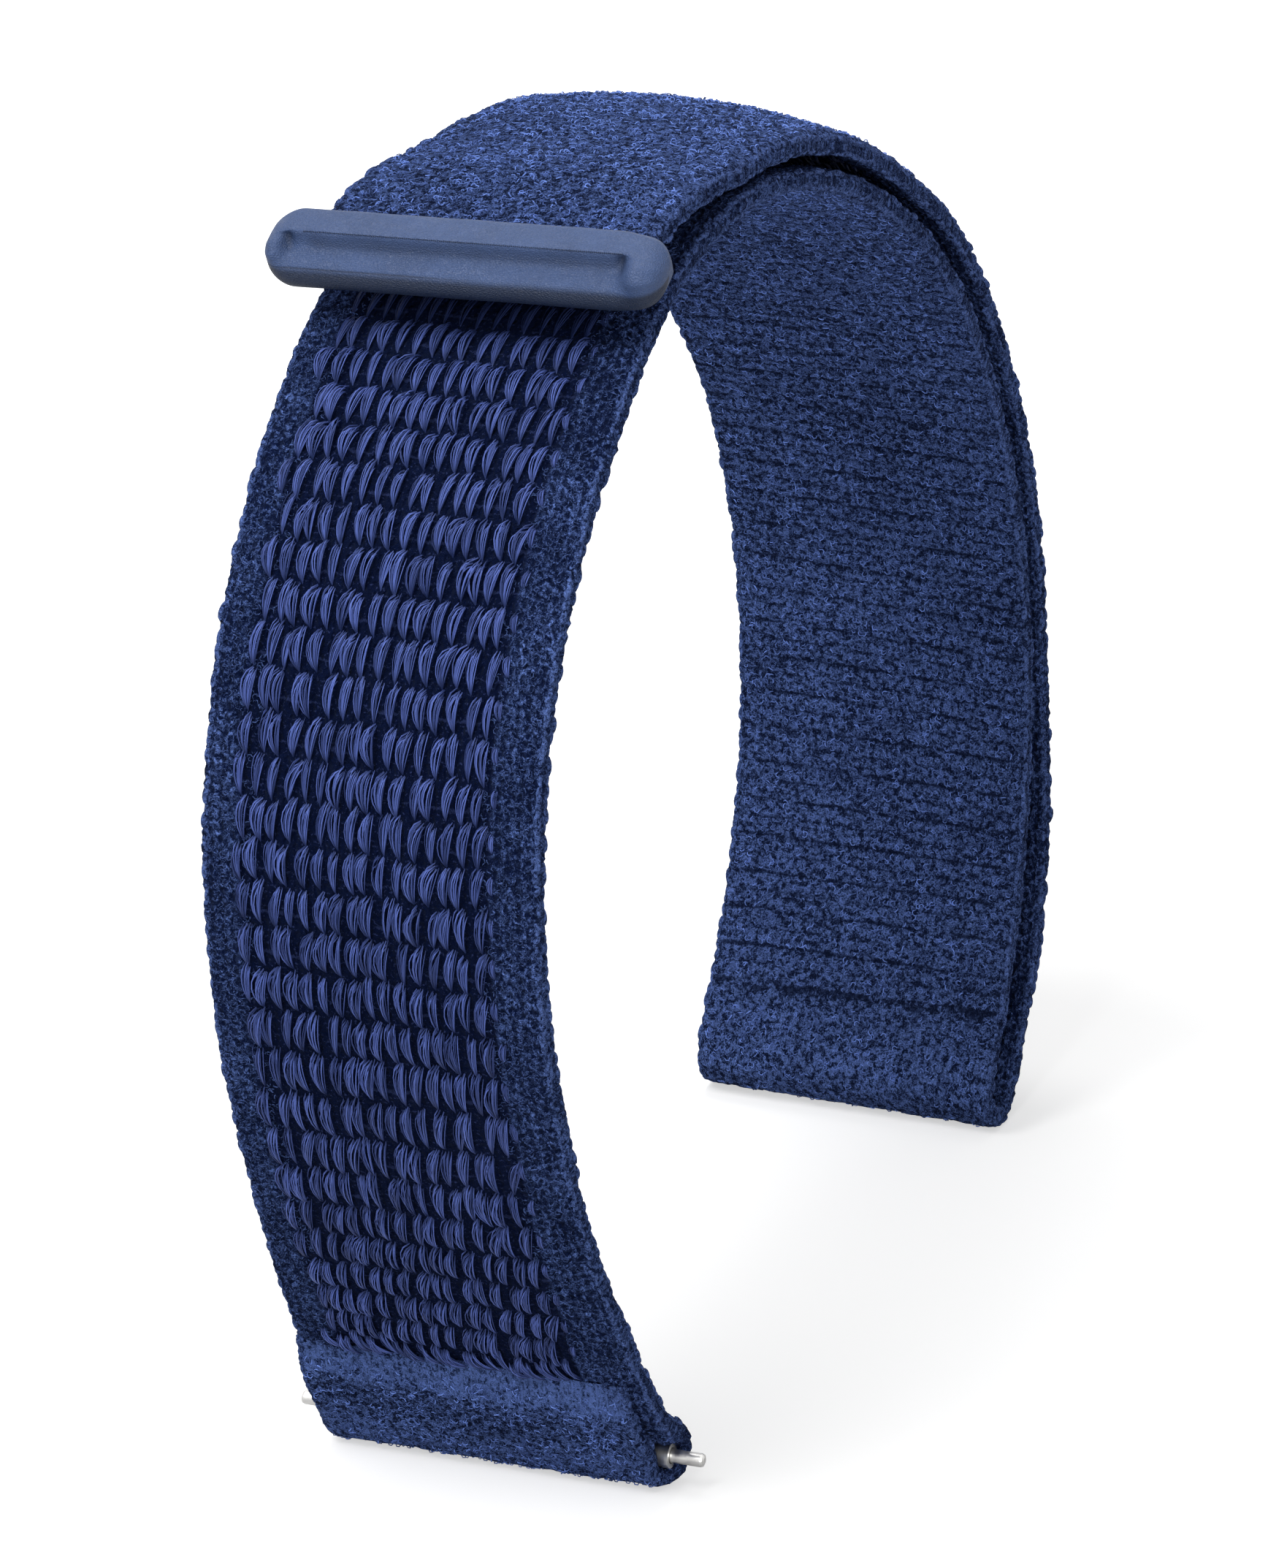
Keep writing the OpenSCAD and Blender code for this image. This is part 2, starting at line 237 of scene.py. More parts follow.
# The outer layer's offset by distance from the fold, in mm
OUTER_STATIONS = (
    (0.0, FOLD_C), (9.0, FOLD_C + 0.5), (25.0, LAYER_C + 0.2), (52.0, LAYER_C + 0.2),
    (PEEL_FROM_FOLD + 10, LAYER_C), (TAIL_LEN - 18, LAYER_C), (TAIL_LEN - 4, LAYER_C + 2.05),
)


def turned(points, angle):
    c, s = np.cos(angle), np.sin(angle)
    return np.stack(
        [points[..., 0] * c - points[..., 1] * s, points[..., 0] * s + points[..., 1] * c], -1
    )


class StrapLine:
    """Side view of the strap: four tangent arcs, stood up on the hem and the fold"""

    def __init__(self):
        self.radii = np.array([r for r, _ in ARCS])
        self.turns = np.radians([a for _, a in ARCS])
        self.ends = np.cumsum(self.radii * self.turns)
        self.begins = self.ends - self.radii * self.turns
        self.before = np.cumsum(self.turns) - self.turns
        starts = [np.zeros(2)]
        for r, a, before in zip(self.radii, self.turns, self.before):
            step = np.array([r * math.sin(a), -r * (1 - math.cos(a))])
            starts.append(starts[-1] + turned(step, -before))
        self.starts = np.array(starts[:-1])
        self.length = float(self.ends[-1])
        stations = OUTER_STATIONS + ((self.length, OUTER_STATIONS[-1][1]),)
        self.knots, self.offsets = (np.array(column) for column in zip(*stations))
        self.lean, self.mid_x = 0.0, 0.0
        fold = self.raw(np.array([self.length]), np.array([HALF_FOLD]))[0]
        self.lean = math.asin((FOLD_R - HEM_R) / math.hypot(*fold)) - math.atan2(fold[1], fold[0])
        run = np.arange(0, self.length, MID_X_STEP)
        low = self.at(run, HALF_WEB + PILE_H)[:, 0].min()
        high = self.at(run, self.outer(run) + HALF_WEB)[:, 0].max()
        self.mid_x = (low + high) / 2

    def arc(self, s):
        return np.clip(np.searchsorted(self.ends, s), 0, len(ARCS) - 1)

    def turn(self, s):
        i = self.arc(s)
        return self.before[i] + (s - self.begins[i]) / self.radii[i]

    def raw(self, s, o):
        i = self.arc(s)
        t = self.turn(s)
        a = t - self.before[i]
        r = self.radii[i]
        step = np.stack([r * np.sin(a), -r * (1 - np.cos(a))], -1)
        normal = turned(np.broadcast_to([0.0, 1.0], step.shape), -t)
        return self.starts[i] + turned(step, -self.before[i]) + np.asarray(o)[..., None] * normal

    def at(self, s, o):
        """Side-view place at the length s, o outwards from the middle of the inner web"""
        s = np.asarray(s, float)
        o = np.broadcast_to(np.asarray(o, float), s.shape)
        return turned(self.raw(s, o), self.lean) + [-self.mid_x, HEM_R]

    def heading(self, s):
        return self.lean - self.turn(np.asarray(s, float))

    def outer(self, s):
        """Offset of the outer layer's middle"""
        knots, values = self.knots, self.offsets
        d = np.clip(self.length - np.asarray(s, float), 0, None)
        i = np.clip(np.searchsorted(knots, d) - 1, 0, len(knots) - 2)
        u = np.clip((d - knots[i]) / (knots[i + 1] - knots[i]), 0, 1)
        return values[i] + (values[i + 1] - values[i]) * (1 - np.cos(np.pi * u)) / 2


LINE = StrapLine()
RUN = LINE.length
CROWN = RUN + FOLD_LEN
TAIL_END = RUN - TAIL_LEN
PEEL_S = RUN - PEEL_FROM_FOLD
HOOK_FROM, HOOK_TO = 78.83, 105.83
BAR_S = TAIL_END + 0.7
# Lengths where one stretch of webbing ends and the next begins
FRONT_TO, TAIL_FROM = 108.0, 135.0
# The flap of the hem: its end, where its pressed end begins, and the cloth round the bar
FLAP_TOP, RIDGE_FROM, WRAP_R, WRAP_T = 8.3, 5.7, 1.33, 1.1
WRAP_LEN = math.pi * WRAP_R
# The hem's section, as lengths from the bar's middle and values there: the flap's outer face
# and thickness, and the leg's inner face and thickness
FLAP_FACE = ((0, 1.5, 3, 4.7, RIDGE_FROM, 6.6, FLAP_TOP),
             (HEM_R, 1.86, 1.72, 1.58, 1.52, 1.22, 0.66))
FLAP_THICK = ((0, 0.8, 1.5, 3, 4.7, RIDGE_FROM, FLAP_TOP),
              (WRAP_T, 1.44, 1.64, 1.27, 0.9, 0.8, 0.18))
LEG_FACE = ((0, 1.5, 3, 4.7, 7.0, RUN), (-HEM_R, -1.62, -1.1, -0.72, -HALF_WEB, -HALF_WEB))
LEG_THICK = ((0, 0.8, 1.5, 3, 4.7, 7, RUN), (WRAP_T, 1.3, 1.74, 1.52, 1.37, 1.3, 1.3))
# How clearly the weave's courses crease the brushed face, by length along the cloth
CREASED = ((-5, 0, 8, 90, 116, 138, RUN - 3, RUN + 1, RUN + 12, RUN + 40, RUN + 66),
           (0, 0.2, 0.7, 0.6, 0.25, 1, 1, 0.2, 0.7, 0.6, 0.08))
# Lengths between which the fabric bends at each joint, from the still side to the moved one
LEG_BEND, TAIL_BEND = (34.0, 26.0), (123.0, 115.0)

# The real fabric twists and cups a little: offsets in mm by length, for the near edge, the
# far edge and, on the outer layer, the middle
INNER_S = (0, 12, 25, 40, 55, 70, 82, 95, 110, 130, 150, 170, 189)
INNER_NEAR = (0, -0.2, -0.22, -0.07, 0.35, 0.02, 0.57, 0.49, 0.41, 0.6, -0.25, -0.43, -0.47)
INNER_FAR = (0, 0.1, 0.2, -0.16, 0.02, -0.01, -0.14, -0.18, -0.08, 0.26, 0.93, 1.2, 0.3)
OUTER_S = (75.4, 82, 90, 98, 106, 118, 130, 145, 160, 175, 189)
OUTER_NEAR = (0.1, -0.62, -0.74, -0.49, -0.41, -0.44, 0, -0.32, -0.48, -0.15, 0)
OUTER_FAR = (-0.85, -1.7, -1.72, -1.1, -0.2, 0.4, 0.57, 0.52, 0.37, 0.2, 0.02)
OUTER_CUP = (0.07, 0.42, 0.76, 1.04, 1.12, 1.15, 0.91, 0.61, 0.31, 0.05, 0)
HALF_STRAP = 10.0


def soft_interp(x, knots, values):
    """Smooth interpolation that never passes beyond its neighbouring knots' values"""
    knots, values = np.asarray(knots, float), np.asarray(values, float)
    step = np.diff(knots)
    rise = np.diff(values) / step
    before, after = rise[:-1], rise[1:]
    same = before * after > 0
    total = np.where(same, before + after, 1.0)
    slope = np.zeros(len(knots))
    slope[1:-1] = np.where(same, 2 * before * after / total, 0.0)
    x = np.clip(x, knots[0], knots[-1])
    i = np.clip(np.searchsorted(knots, x) - 1, 0, len(knots) - 2)
    h = step[i]
    u = (x - knots[i]) / h
    return (
        values[i] * (1 + 2 * u) * (1 - u) ** 2 + slope[i] * h * u * (1 - u) ** 2
        + values[i + 1] * u * u * (3 - 2 * u) + slope[i + 1] * h * u * u * (u - 1)
    )


def inner_wave(s, y, knots=INNER_S, near=INNER_NEAR, far=INNER_FAR):
    """How far the fabric lies outside its line at the length s and the place y across"""
    w = np.clip((y + HALF_STRAP) / (2 * HALF_STRAP), -0.1, 1.1)
    return soft_interp(s, knots, near) * (1 - w) + soft_interp(s, knots, far) * w


def outer_wave(s, y):
    return (inner_wave(s, y, OUTER_S, OUTER_NEAR, OUTER_FAR)
            + soft_interp(s, OUTER_S, OUTER_CUP) * np.clip(1 - (y / HALF_STRAP) ** 2, 0, 1))


def in_space(side, y):
    """3-D points from places in the side view and Y"""
    return np.stack([side[..., 0], y, side[..., 1]], -1)


# ---- Smooth random fields and the weave's rows

TABLE_SIZE, TABLE_COUNT, TABLE_SEED = 256, 24, 41
TABLES = np.random.default_rng(TABLE_SEED).random((TABLE_COUNT, TABLE_SIZE, TABLE_SIZE)) * 2 - 1


def noise(x, y, layer):
    """Smooth value noise from -1 to 1 on a unit lattice"""
    table = TABLES[layer]
    xi, yi = np.floor(x).astype(int), np.floor(y).astype(int)
    fx, fy = x - xi, y - yi
    fx, fy = fx * fx * (3 - 2 * fx), fy * fy * (3 - 2 * fy)
    x0, x1 = xi % TABLE_SIZE, (xi + 1) % TABLE_SIZE
    y0, y1 = yi % TABLE_SIZE, (yi + 1) % TABLE_SIZE
    low = table[x0, y0] * (1 - fx) + table[x1, y0] * fx
    high = table[x0, y1] * (1 - fx) + table[x1, y1] * fx
    return low * (1 - fy) + high * fy


def smooth(x, low, high):
    t = np.clip((x - low) / (high - low), 0, 1)
    return t * t * (3 - 2 * t)


def dome(x, width):
    """1 at nought, falling off like a bell"""
    return np.exp(-((x / width) ** 2))


FIRST_ROW, LAST_INNER_ROW, ROWS_FROM_FOLD = 9.4, 185.3, 8.0


def row_pitch(s, base):
    """The rows stand wider apart where the weaver's take-up was slower"""
    return base + 0.6 * math.exp(-((s - 27.5) / 9.5) ** 2) + 0.6 * math.exp(-((s - 145) / 8) ** 2)


def rows_from(start, stop, base):
    rows = [start]
    while rows[-1] < stop:
        rows.append(rows[-1] + row_pitch(rows[-1], base))
    return np.array(rows)


def all_rows(base):
    """Lower ends of the tuft rows, as lengths along the strap, on both sides of the crown"""
    front = rows_from(FIRST_ROW, FRONT_TO, base)
    back = [LAST_INNER_ROW]
    while back[-1] > front[-1] + base:
        back.append(back[-1] - row_pitch(back[-1], base))
    back = np.array(back[::-1])
    back = back[back > front[-1] + 0.7 * base]
    outer = rows_from(RUN + ROWS_FROM_FOLD, CROWN + TAIL_LEN, base)
    return np.concatenate([front, back, outer])


# ---- Meshes


def linked(name, mesh):
    obj = bpy.data.objects.new(name, mesh)
    bpy.context.scene.collection.objects.link(obj)
    return obj


def shade_smooth(obj):
    obj.data.polygons.foreach_set("use_smooth", np.ones(len(obj.data.polygons), bool))
    obj.data.update()


def mesh_object(name, points, faces):
    """A piece from points in mm and faces, at the origin"""
    mesh = bpy.data.meshes.new(name)
    points = np.asarray(points, np.float32) * MM
    faces = np.asarray(faces, np.int32)
    mesh.vertices.add(len(points))
    mesh.vertices.foreach_set("co", points.ravel())
    corners = faces.shape[1]
    mesh.loops.add(faces.size)
    mesh.loops.foreach_set("vertex_index", faces.ravel())
    mesh.polygons.add(len(faces))
    mesh.polygons.foreach_set("loop_start", np.arange(len(faces), dtype=np.int32) * corners)
    mesh.polygons.foreach_set("use_smooth", np.ones(len(faces), bool))
    mesh.update(calc_edges=True)
    return linked(name, mesh)


def face_outward(obj):
    """Turns the faces outward if the closed mesh's signed volume says they face inward"""
    bm = bmesh.new()
    bm.from_mesh(obj.data)
    if bm.calc_volume(signed=True) < 0:
        bmesh.ops.reverse_faces(bm, faces=bm.faces)
    bm.to_mesh(obj.data)
    bm.free()
    shade_smooth(obj)


def put_attributes(mesh, values):
    """Float attributes by point; a single number counts for every point"""
    for name, value in values.items():
        value = np.broadcast_to(np.asarray(value, np.float32), (len(mesh.vertices),))
        layer = mesh.attributes.new(name, "FLOAT", "POINT")
        layer.data.foreach_set("value", value.astype(np.float32))


def put_uv(obj, u, v):
    """UV in millimetres on the fabric: u across from the middle, v along"""
    uv = obj.data.uv_layers.new(name="fabric")
    corners = np.zeros(len(obj.data.loops), np.int32)
    obj.data.loops.foreach_get("vertex_index", corners)
    flat = np.stack([np.asarray(u)[corners], np.asarray(v)[corners]], -1)
    uv.data.foreach_set("uv", flat.astype(np.float32).ravel())


def cap_faces(first, count):
    """Quads that close a flat ring across its width, whose points run out and back"""
    j = np.arange(count // 2 - 1)
    return np.stack([first + j, first + j + 1, first + count - 2 - j, first + count - 1 - j], -1)


def swept_object(name, rings):
    """A closed piece from an array of rings of points in mm, capped at both ends"""
    total, count = rings.shape[:2]
    i, j = np.arange(total - 1)[:, None], np.arange(count)[None, :]
    k = (j + 1) % count
    sides = np.stack([i * count + j, i * count + k, (i + 1) * count + k, (i + 1) * count + j], -1)
    faces = np.concatenate([sides.reshape(-1, 4), cap_faces(0, count)[:, ::-1],
                            cap_faces((total - 1) * count, count)])
    piece = mesh_object(name, rings.reshape(-1, 3), faces)
    face_outward(piece)
    return piece


EDGE_STEPS = 7


def section(step):
    """Ring of the webbing's section: pile face out, far edge, brushed face back, near edge.

    Each point has its share of the flat half-width, edge cosine, rise and brushed-face share.
    """
    flat = int(round(2 * (HALF_STRAP - HALF_WEB) / step))
    share = np.linspace(-1, 1, flat + 1)
    phi = np.radians(np.linspace(90, -90, EDGE_STEPS + 2)[1:-1])
    cos, sin, none = np.cos(phi), np.sin(phi), 0 * share
    return (
        np.concatenate([share, np.ones(EDGE_STEPS), share[::-1], -np.ones(EDGE_STEPS)]),
        np.concatenate([none, cos, none, -cos[::-1]]),
        np.concatenate([none + 1, sin, none - 1, sin[::-1]]),
        np.concatenate([none, (1 - sin) / 2, none + 1, (1 - sin[::-1]) / 2]),
    )


class Path:
    """Rings of one stretch of webbing: side-view centre, left normal and sizes at each ring.

    wave(y) is how far the fabric lies to the left of its path.
    """

    ARRAYS = ("centre", "left", "thick", "near", "far", "v")

    def __init__(self, centre, left, thick, near, far, v, wave):
        self.centre, self.left, self.thick = centre, left, thick
        self.near, self.far, self.v, self.wave = near, far, v, wave


# How much wider the hem is on its near and far sides, and where the flare begins and ends
FLARE_NEAR, FLARE_FAR, FLARE_AT = 1.2, 0.62, (1.0, 23.0)


def edges_of(s, width):
    """Near and far edges in Y: the hem is wider than the strap"""
    half = width / 2
    flare = 1 - smooth(s, *FLARE_AT)
    return -(half + FLARE_NEAR * flare), half + FLARE_FAR * flare


def left_of(heading):
    return np.stack([-np.sin(heading), np.cos(heading)], -1)


def run_path(s, layer, v, width):
    """Rings on the inner or outer layer"""
    normal = left_of(LINE.heading(s))
    sizes = (np.full(len(s), WEB_T), *edges_of(s, width), v)
    if layer == "inner":
        return Path(LINE.at(s, 0), normal, *sizes, lambda y: inner_wave(s[:, None], y))
    return Path(LINE.at(s, LINE.outer(s)), -normal, *sizes, lambda y: -outer_wave(s[:, None], y))


def joined(paths):
    """One path from several, ring after ring"""
    cuts = np.cumsum([len(p.v) for p in paths])[:-1]

    def wave(y):
        return np.concatenate([p.wave(one) for p, one in zip(paths, np.split(y, cuts))])

    return Path(*(np.concatenate([getattr(p, key) for p in paths]) for key in Path.ARRAYS), wave)


# Heights and depths of the cloth's relief in mm, and the pitches of its yarns
LUMP_H, ROLL_H, CREASE_D, FAINT_D, SPLIT_D, RIB_H = 0.06, 0.04, 0.18, 0.12, 0.04, 0.05
CHAIN_H, STITCH_H, CURL_H, PIT_D, GROUND_D = 0.05, 0.05, 0.07, 0.10, 0.1
YARN_PITCH, CHAIN_PITCH, STITCH_PITCH, SELVEDGE_PITCH = 0.56, 0.66, 0.74, 0.80
# Where the flap's pressed end begins, as lengths from the bar's middle
PRESSED = (5.2, 6.0)


def relief(u, v, face, rows):
    """Height of the cloth in mm, its painted shade in creases, splits and pits, how bare the ground, and the course"""
    course = np.interp(v, rows, np.arange(len(rows), dtype=float))
    row_share = course - np.floor(course)
    gap = np.interp(v, rows[:-1], np.diff(rows))
    off_row = np.minimum(row_share, 1 - row_share) * gap
    off_half = np.abs(row_share - 0.5) * gap
    rolls = noise(u / 1.7, v / 1.5, 8)
    # Brushed face: creases at the courses, fainter ones between, and splits between the yarns
    wobble = 0.08 * noise(u / 1.3, v / 1.1, 0) + 0.04 * noise(u / 0.45, v / 0.6, 1)
    field = 1 - smooth(np.abs(u - 0.45 + 0.6 * noise(v / 2.3, 0 * v, 2)), 6.6, 8.2)
    broken = np.clip(0.75 + 0.55 * noise(u / 0.9, v / 0.9, 3), 0, 1)
    crease = dome(off_row + wobble, 0.17) * broken * (0.25 + 0.75 * field) * np.interp(v, *CREASED)
    faint = dome(off_half + wobble, 0.15) * np.clip(
        0.5 + 0.7 * noise(u / 1.1, v / 1.3, 4), 0, 1) * np.interp(v, *CREASED)
    column = u / YARN_PITCH + 0.35 * noise(u / 1.4, v / 0.8, 5) + 0.5 * np.floor(course)
    split = dome(np.abs(column % 1 - 0.5) - 0.5, 0.16) * np.clip(
        0.35 + 0.8 * noise(u / 0.7, v / 0.6, 6), 0, 1)
    brushed = (LUMP_H * noise(u / 0.42, v / 0.40, 7) + ROLL_H * rolls
               - CREASE_D * crease - FAINT_D * faint - SPLIT_D * split)
    # Painted shade in the creases and in the splits between the yarns
    brushed_hollow_shade = np.clip(0.45 * crease + 0.2 * faint + 0.15 * split, 0, 1)
    # The flap's pressed end is ribbed along the strap
    s_flap = -WRAP_LEN - v
    pressed = smooth(s_flap, *PRESSED)
    ribs = noise(u / 0.17, v / 1.9, 18) * pressed * smooth(-s_flap, -8.4, -7.6)
    brushed = brushed * (1 - 0.5 * pressed) + RIB_H * ribs
    # Selvedge knit: vertical chains of small clusters with pits between them
    chain = np.cos(2 * np.pi * (u / CHAIN_PITCH + 0.10 * noise(v / 0.8, u / 2, 9)))
    cluster = np.cos(2 * np.pi * (v / STITCH_PITCH + 0.5 * np.floor(u / CHAIN_PITCH)
                                  + 0.22 * noise(u / 0.7, v / 1.5, 10)))
    pit = np.clip(-chain - 0.1, 0, 1) * np.clip(-cluster + 0.2, 0, 1)
    knit = (CHAIN_H * chain + STITCH_H * cluster + CURL_H * noise(u / 0.40, v / 0.36, 11)
            + 0.03 * rolls - PIT_D * pit)
    # Bare ground under the pile
    ground = 1 - smooth(np.abs(u - 0.35 + 0.12 * noise(v / 0.9, 0 * v, 17)), 7.25, 7.7)
    ground = ground * smooth(v, 7.8, 8.4)
    # The second value is painted shade: the brushed face's creases and splits, and the knit's pits
    return (
        brushed * face + (knit * (1 - 0.8 * ground) - GROUND_D * ground) * (1 - face),
        brushed_hollow_shade * face + np.clip(0.7 * pit, 0, 1) * (1 - face),
        ground * (1 - face),
        course,
    )


def tone(u, v, face):
    """Broad lightness of the cloth, 1 being plain: painted shade on a band of the flap, a painted highlight on its
    pressed ridge, painted light over the flap and the wrap, random clouds, and a darker plain face
    """
    s = -WRAP_LEN - v + 0.5 * noise(u / 1.1, v / 1.0, 20)
    # Painted shade on a band of the flap, a painted highlight on its pressed ridge, and painted light over the flap
    # and the wrap round the bar
    band = 0.20 * smooth(s, 1.4, 3.4) * (1 - smooth(s, 4.9, 6.0)) * face
    ridge = 0.10 * smooth(s, 5.5, 6.6) * face
    flap = 0.15 * smooth(-v, 2.0, 4.5)
    plain = 0.76 + 0.08 * noise(u / 1.5, v / 2.0, 22)
    cloud = 0.07 * noise(u / 4.0, v / 5.0, 19)
    return (1 - band + ridge + flap + cloud) * face + plain * (1 - face)


def pressed_ridge_highlight(u, v, face):
    """How much painted highlight each point of the flap's sloping, pressed end takes"""
    s = -WRAP_LEN - v + 0.35 * noise(u / 0.9, v / 0.8, 21)
    return 0.65 * smooth(s, RIDGE_FROM - 0.3, RIDGE_FROM + 0.5) * face


def scallop(v, side):
    """How far the selvedge's edge stands out: small loops of the weft with larger steps"""
    loop = np.cos(2 * np.pi * (v / SELVEDGE_PITCH + 0.25 * noise(v / 2.1, 0 * v + side, 12)))
    step = noise(v / 1.95, 0 * v + 3 * side, 13)
    return 0.055 * loop + 0.08 * step - 0.08


def sweep_webbing(name, path, rows, step, ridged=False):
    """A closed stretch of webbing from its rings, with its weave as real relief"""
    share, edge, rise, face = section(step)
    shape = (len(path.v), len(share))
    half_t = path.thick[:, None] / 2
    v, face = np.broadcast_to(path.v[:, None], shape), np.broadcast_to(face, shape)
    mid = (path.near + path.far)[:, None] / 2
    half = (path.far - path.near)[:, None] / 2
    flat = half - half_t
    y = mid + share * flat + edge * half_t
    # Ring coordinate: y on both faces, and the length round the rounded edge beyond it
    beyond = half_t * (math.pi / 2 - np.abs(np.arctan2(rise, np.abs(edge) + 1e-9)))
    u = mid + share * flat + np.where(np.abs(edge) > 1e-6, np.sign(edge) * beyond, 0)
    height, hollow, ground, course = relief(u, v, face, rows)
    edge_side = np.sign(share)
    frill = scallop(v, edge_side) * smooth(np.abs(y - mid) / half, 0.93, 1.0)
    lift = path.wave(y) + rise * half_t + rise * height
    y = y + edge * height + edge_side * frill
    side = path.centre[:, None] + path.left[:, None] * lift[..., None]
    piece = swept_object(name, in_space(side, y))
    fields = {
        "brushed": face, "hollow": hollow, "ground": ground, "course": course,
        "creased": np.interp(v, *CREASED), "tone": tone(u, v, face),
        "ridge": pressed_ridge_highlight(u, v, face) if ridged else 0 * u,
    }
    put_attributes(piece.data, {key: value.ravel() for key, value in fields.items()})
    put_uv(piece, u.ravel(), v.ravel())
    return piece


# ---- Node tools, shared by materials and Geometry Nodes


class Value:
    """A node's output, with which sums and products can be written"""

    def __init__(self, tree, socket):
        self.tree, self.socket = tree, socket

    def calc(self, operation, *others, clamp=False):
        return self.tree.calc(operation, self, *others, clamp=clamp)

    def __add__(self, other):
        return self.calc("ADD", other)

    def __sub__(self, other):
        return self.calc("SUBTRACT", other)

    def __rsub__(self, other):
        return self.tree.calc("SUBTRACT", other, self)

    def __mul__(self, other):
        return self.calc("MULTIPLY", other)

    def __truediv__(self, other):
        return self.calc("DIVIDE", other)

    def fraction(self):
        return self.calc("FRACT")

    def most(self, other, clamp=False):
        return self.calc("MAXIMUM", other, clamp=clamp)

    def ramp(self, low, high, to_low=0.0, to_high=1.0):
        """Smooth step from low..high to to_low..to_high"""
        values = dict(enumerate((self, low, high, to_low, to_high)))
        return self.tree.get("ShaderNodeMapRange", values, interpolation_type="SMOOTHSTEP")


class Tree:
    """A node tree, with short ways to add nodes to it"""

    def __init__(self, data):
        self.data = data

    def link(self, value, socket):
        if isinstance(value, Value):
            self.data.links.new(value.socket, socket)
        else:
            socket.default_value = value

    def add(self, kind, values=None, **settings):
        node = self.data.nodes.new(kind)
        for key, value in settings.items():
            setattr(node, key, value)
        for key, value in (values or {}).items():
            self.link(value, node.inputs[key])
        return node

    def get(self, kind, values=None, output=0, **settings):
        return Value(self, self.add(kind, values, **settings).outputs[output])

    def calc(self, operation, *values, clamp=False):
        return self.get("ShaderNodeMath", dict(enumerate(values)), operation=operation,
                        use_clamp=clamp)

    def mix(self, factor, a, b):
        return self.get("ShaderNodeMix", {0: factor, 6: a, 7: b}, 2, data_type="RGBA")

    def attribute(self, name):
        return self.get("ShaderNodeAttribute", None, "Fac", attribute_name=name,
                        attribute_type="GEOMETRY")

    def coords(self):
        return self.get("ShaderNodeTexCoord", None, "Object")

    def scaled(self, vector, x, y, z=1.0):
        return self.get("ShaderNodeMapping", {"Vector": vector, "Scale": (x, y, z)})

    def noise(self, vector, scale, detail=2.0, rough=0.5, distort=0.0):
        return self.get("ShaderNodeTexNoise", {
            "Vector": vector, "Scale": scale, "Detail": detail, "Roughness": rough,
            "Distortion": distort}, "Fac")

    def group(self, name, *values):
        """The outputs of a shared group with its inputs set in order"""
        node = self.add("ShaderNodeGroup", node_tree=shared(name))
        for value, socket in zip(values, node.inputs):
            self.link(value, socket)
        return [Value(self, socket) for socket in node.outputs]


class Group(Tree):
    """A shader node group of a vector and some numbers"""

    def __init__(self, name, inputs, outputs):
        super().__init__(bpy.data.node_groups.new(name, "ShaderNodeTree"))
        face = self.data.interface
        face.new_socket(name="Vector", in_out="INPUT", socket_type="NodeSocketVector")
        for label, default in inputs.items():
            face.new_socket(name=label, in_out="INPUT",
                            socket_type="NodeSocketFloat").default_value = default
        for label in outputs:
            face.new_socket(name=label, in_out="OUTPUT", socket_type="NodeSocketFloat")
        count = 1 + len(inputs)
        self.given = [Value(self, socket) for socket in self.add("NodeGroupInput").outputs[:count]]
        self.exit = self.add("NodeGroupOutput")

    def finish(self, *values):
        for value, socket in zip(values, self.exit.inputs):
            self.link(value, socket)
        return self.data


def curly_yarn_group(name):
    """Fine curled fibres, by millimetres of cloth: how much light fibre shows, and its height"""
    t = Group(name, {"Fibres per mm": 5.0, "Clumps per mm": 2.2, "Clumping": 0.5},
              ("Fibre", "Height"))
    v, fibres, clumps, clumping = t.given
    grain = t.noise(v, fibres, 3.0, 0.72, 0.8).ramp(0.40, 0.60)
    curls = t.noise(t.scaled(v, 1.1, 0.9), fibres * 0.55, 1.0, 0.5, 1.8)
    strand = ((curls * 7.0).calc("PINGPONG", 0.5) * 2.0).calc("POWER", 1.4)
    tangle = grain * 0.5 + strand * 0.5
    body = t.noise(v, clumps, 1.5, 0.5, 0.6).ramp(0.30, 0.66)
    share = clumping * 0.5
    return t.finish(tangle * (1.0 - share) + body * share, body * 0.5 + tangle * 0.5)


def chain_group(name):
    """Columns of knitted chain stitches with a pit between each pair"""
    t = Group(name, {"Across": 0.62, "Along": 0.72}, ("Pit", "Height"))
    v, width, length = t.given
    parts = t.add("ShaderNodeSeparateXYZ", {0: v})
    x, y = (Value(t, socket) for socket in parts.outputs[:2])
    bend, shiver = t.noise(v, 0.8, 1.0), t.noise(v, 2.3, 1.0)
    column = x / width + (bend * 0.7 + shiver * 0.35)
    stitch = y / length + (column.calc("FLOOR") * 0.43 + shiver * 0.9)
    du, dv = column.fraction() - 0.5, stitch.fraction() - 0.5
    away = (du * du * 2.2 + dv * dv).calc("SQRT")
    return t.finish(1.0 - away.ramp(0.20, 0.44), away.ramp(0.05, 0.5))


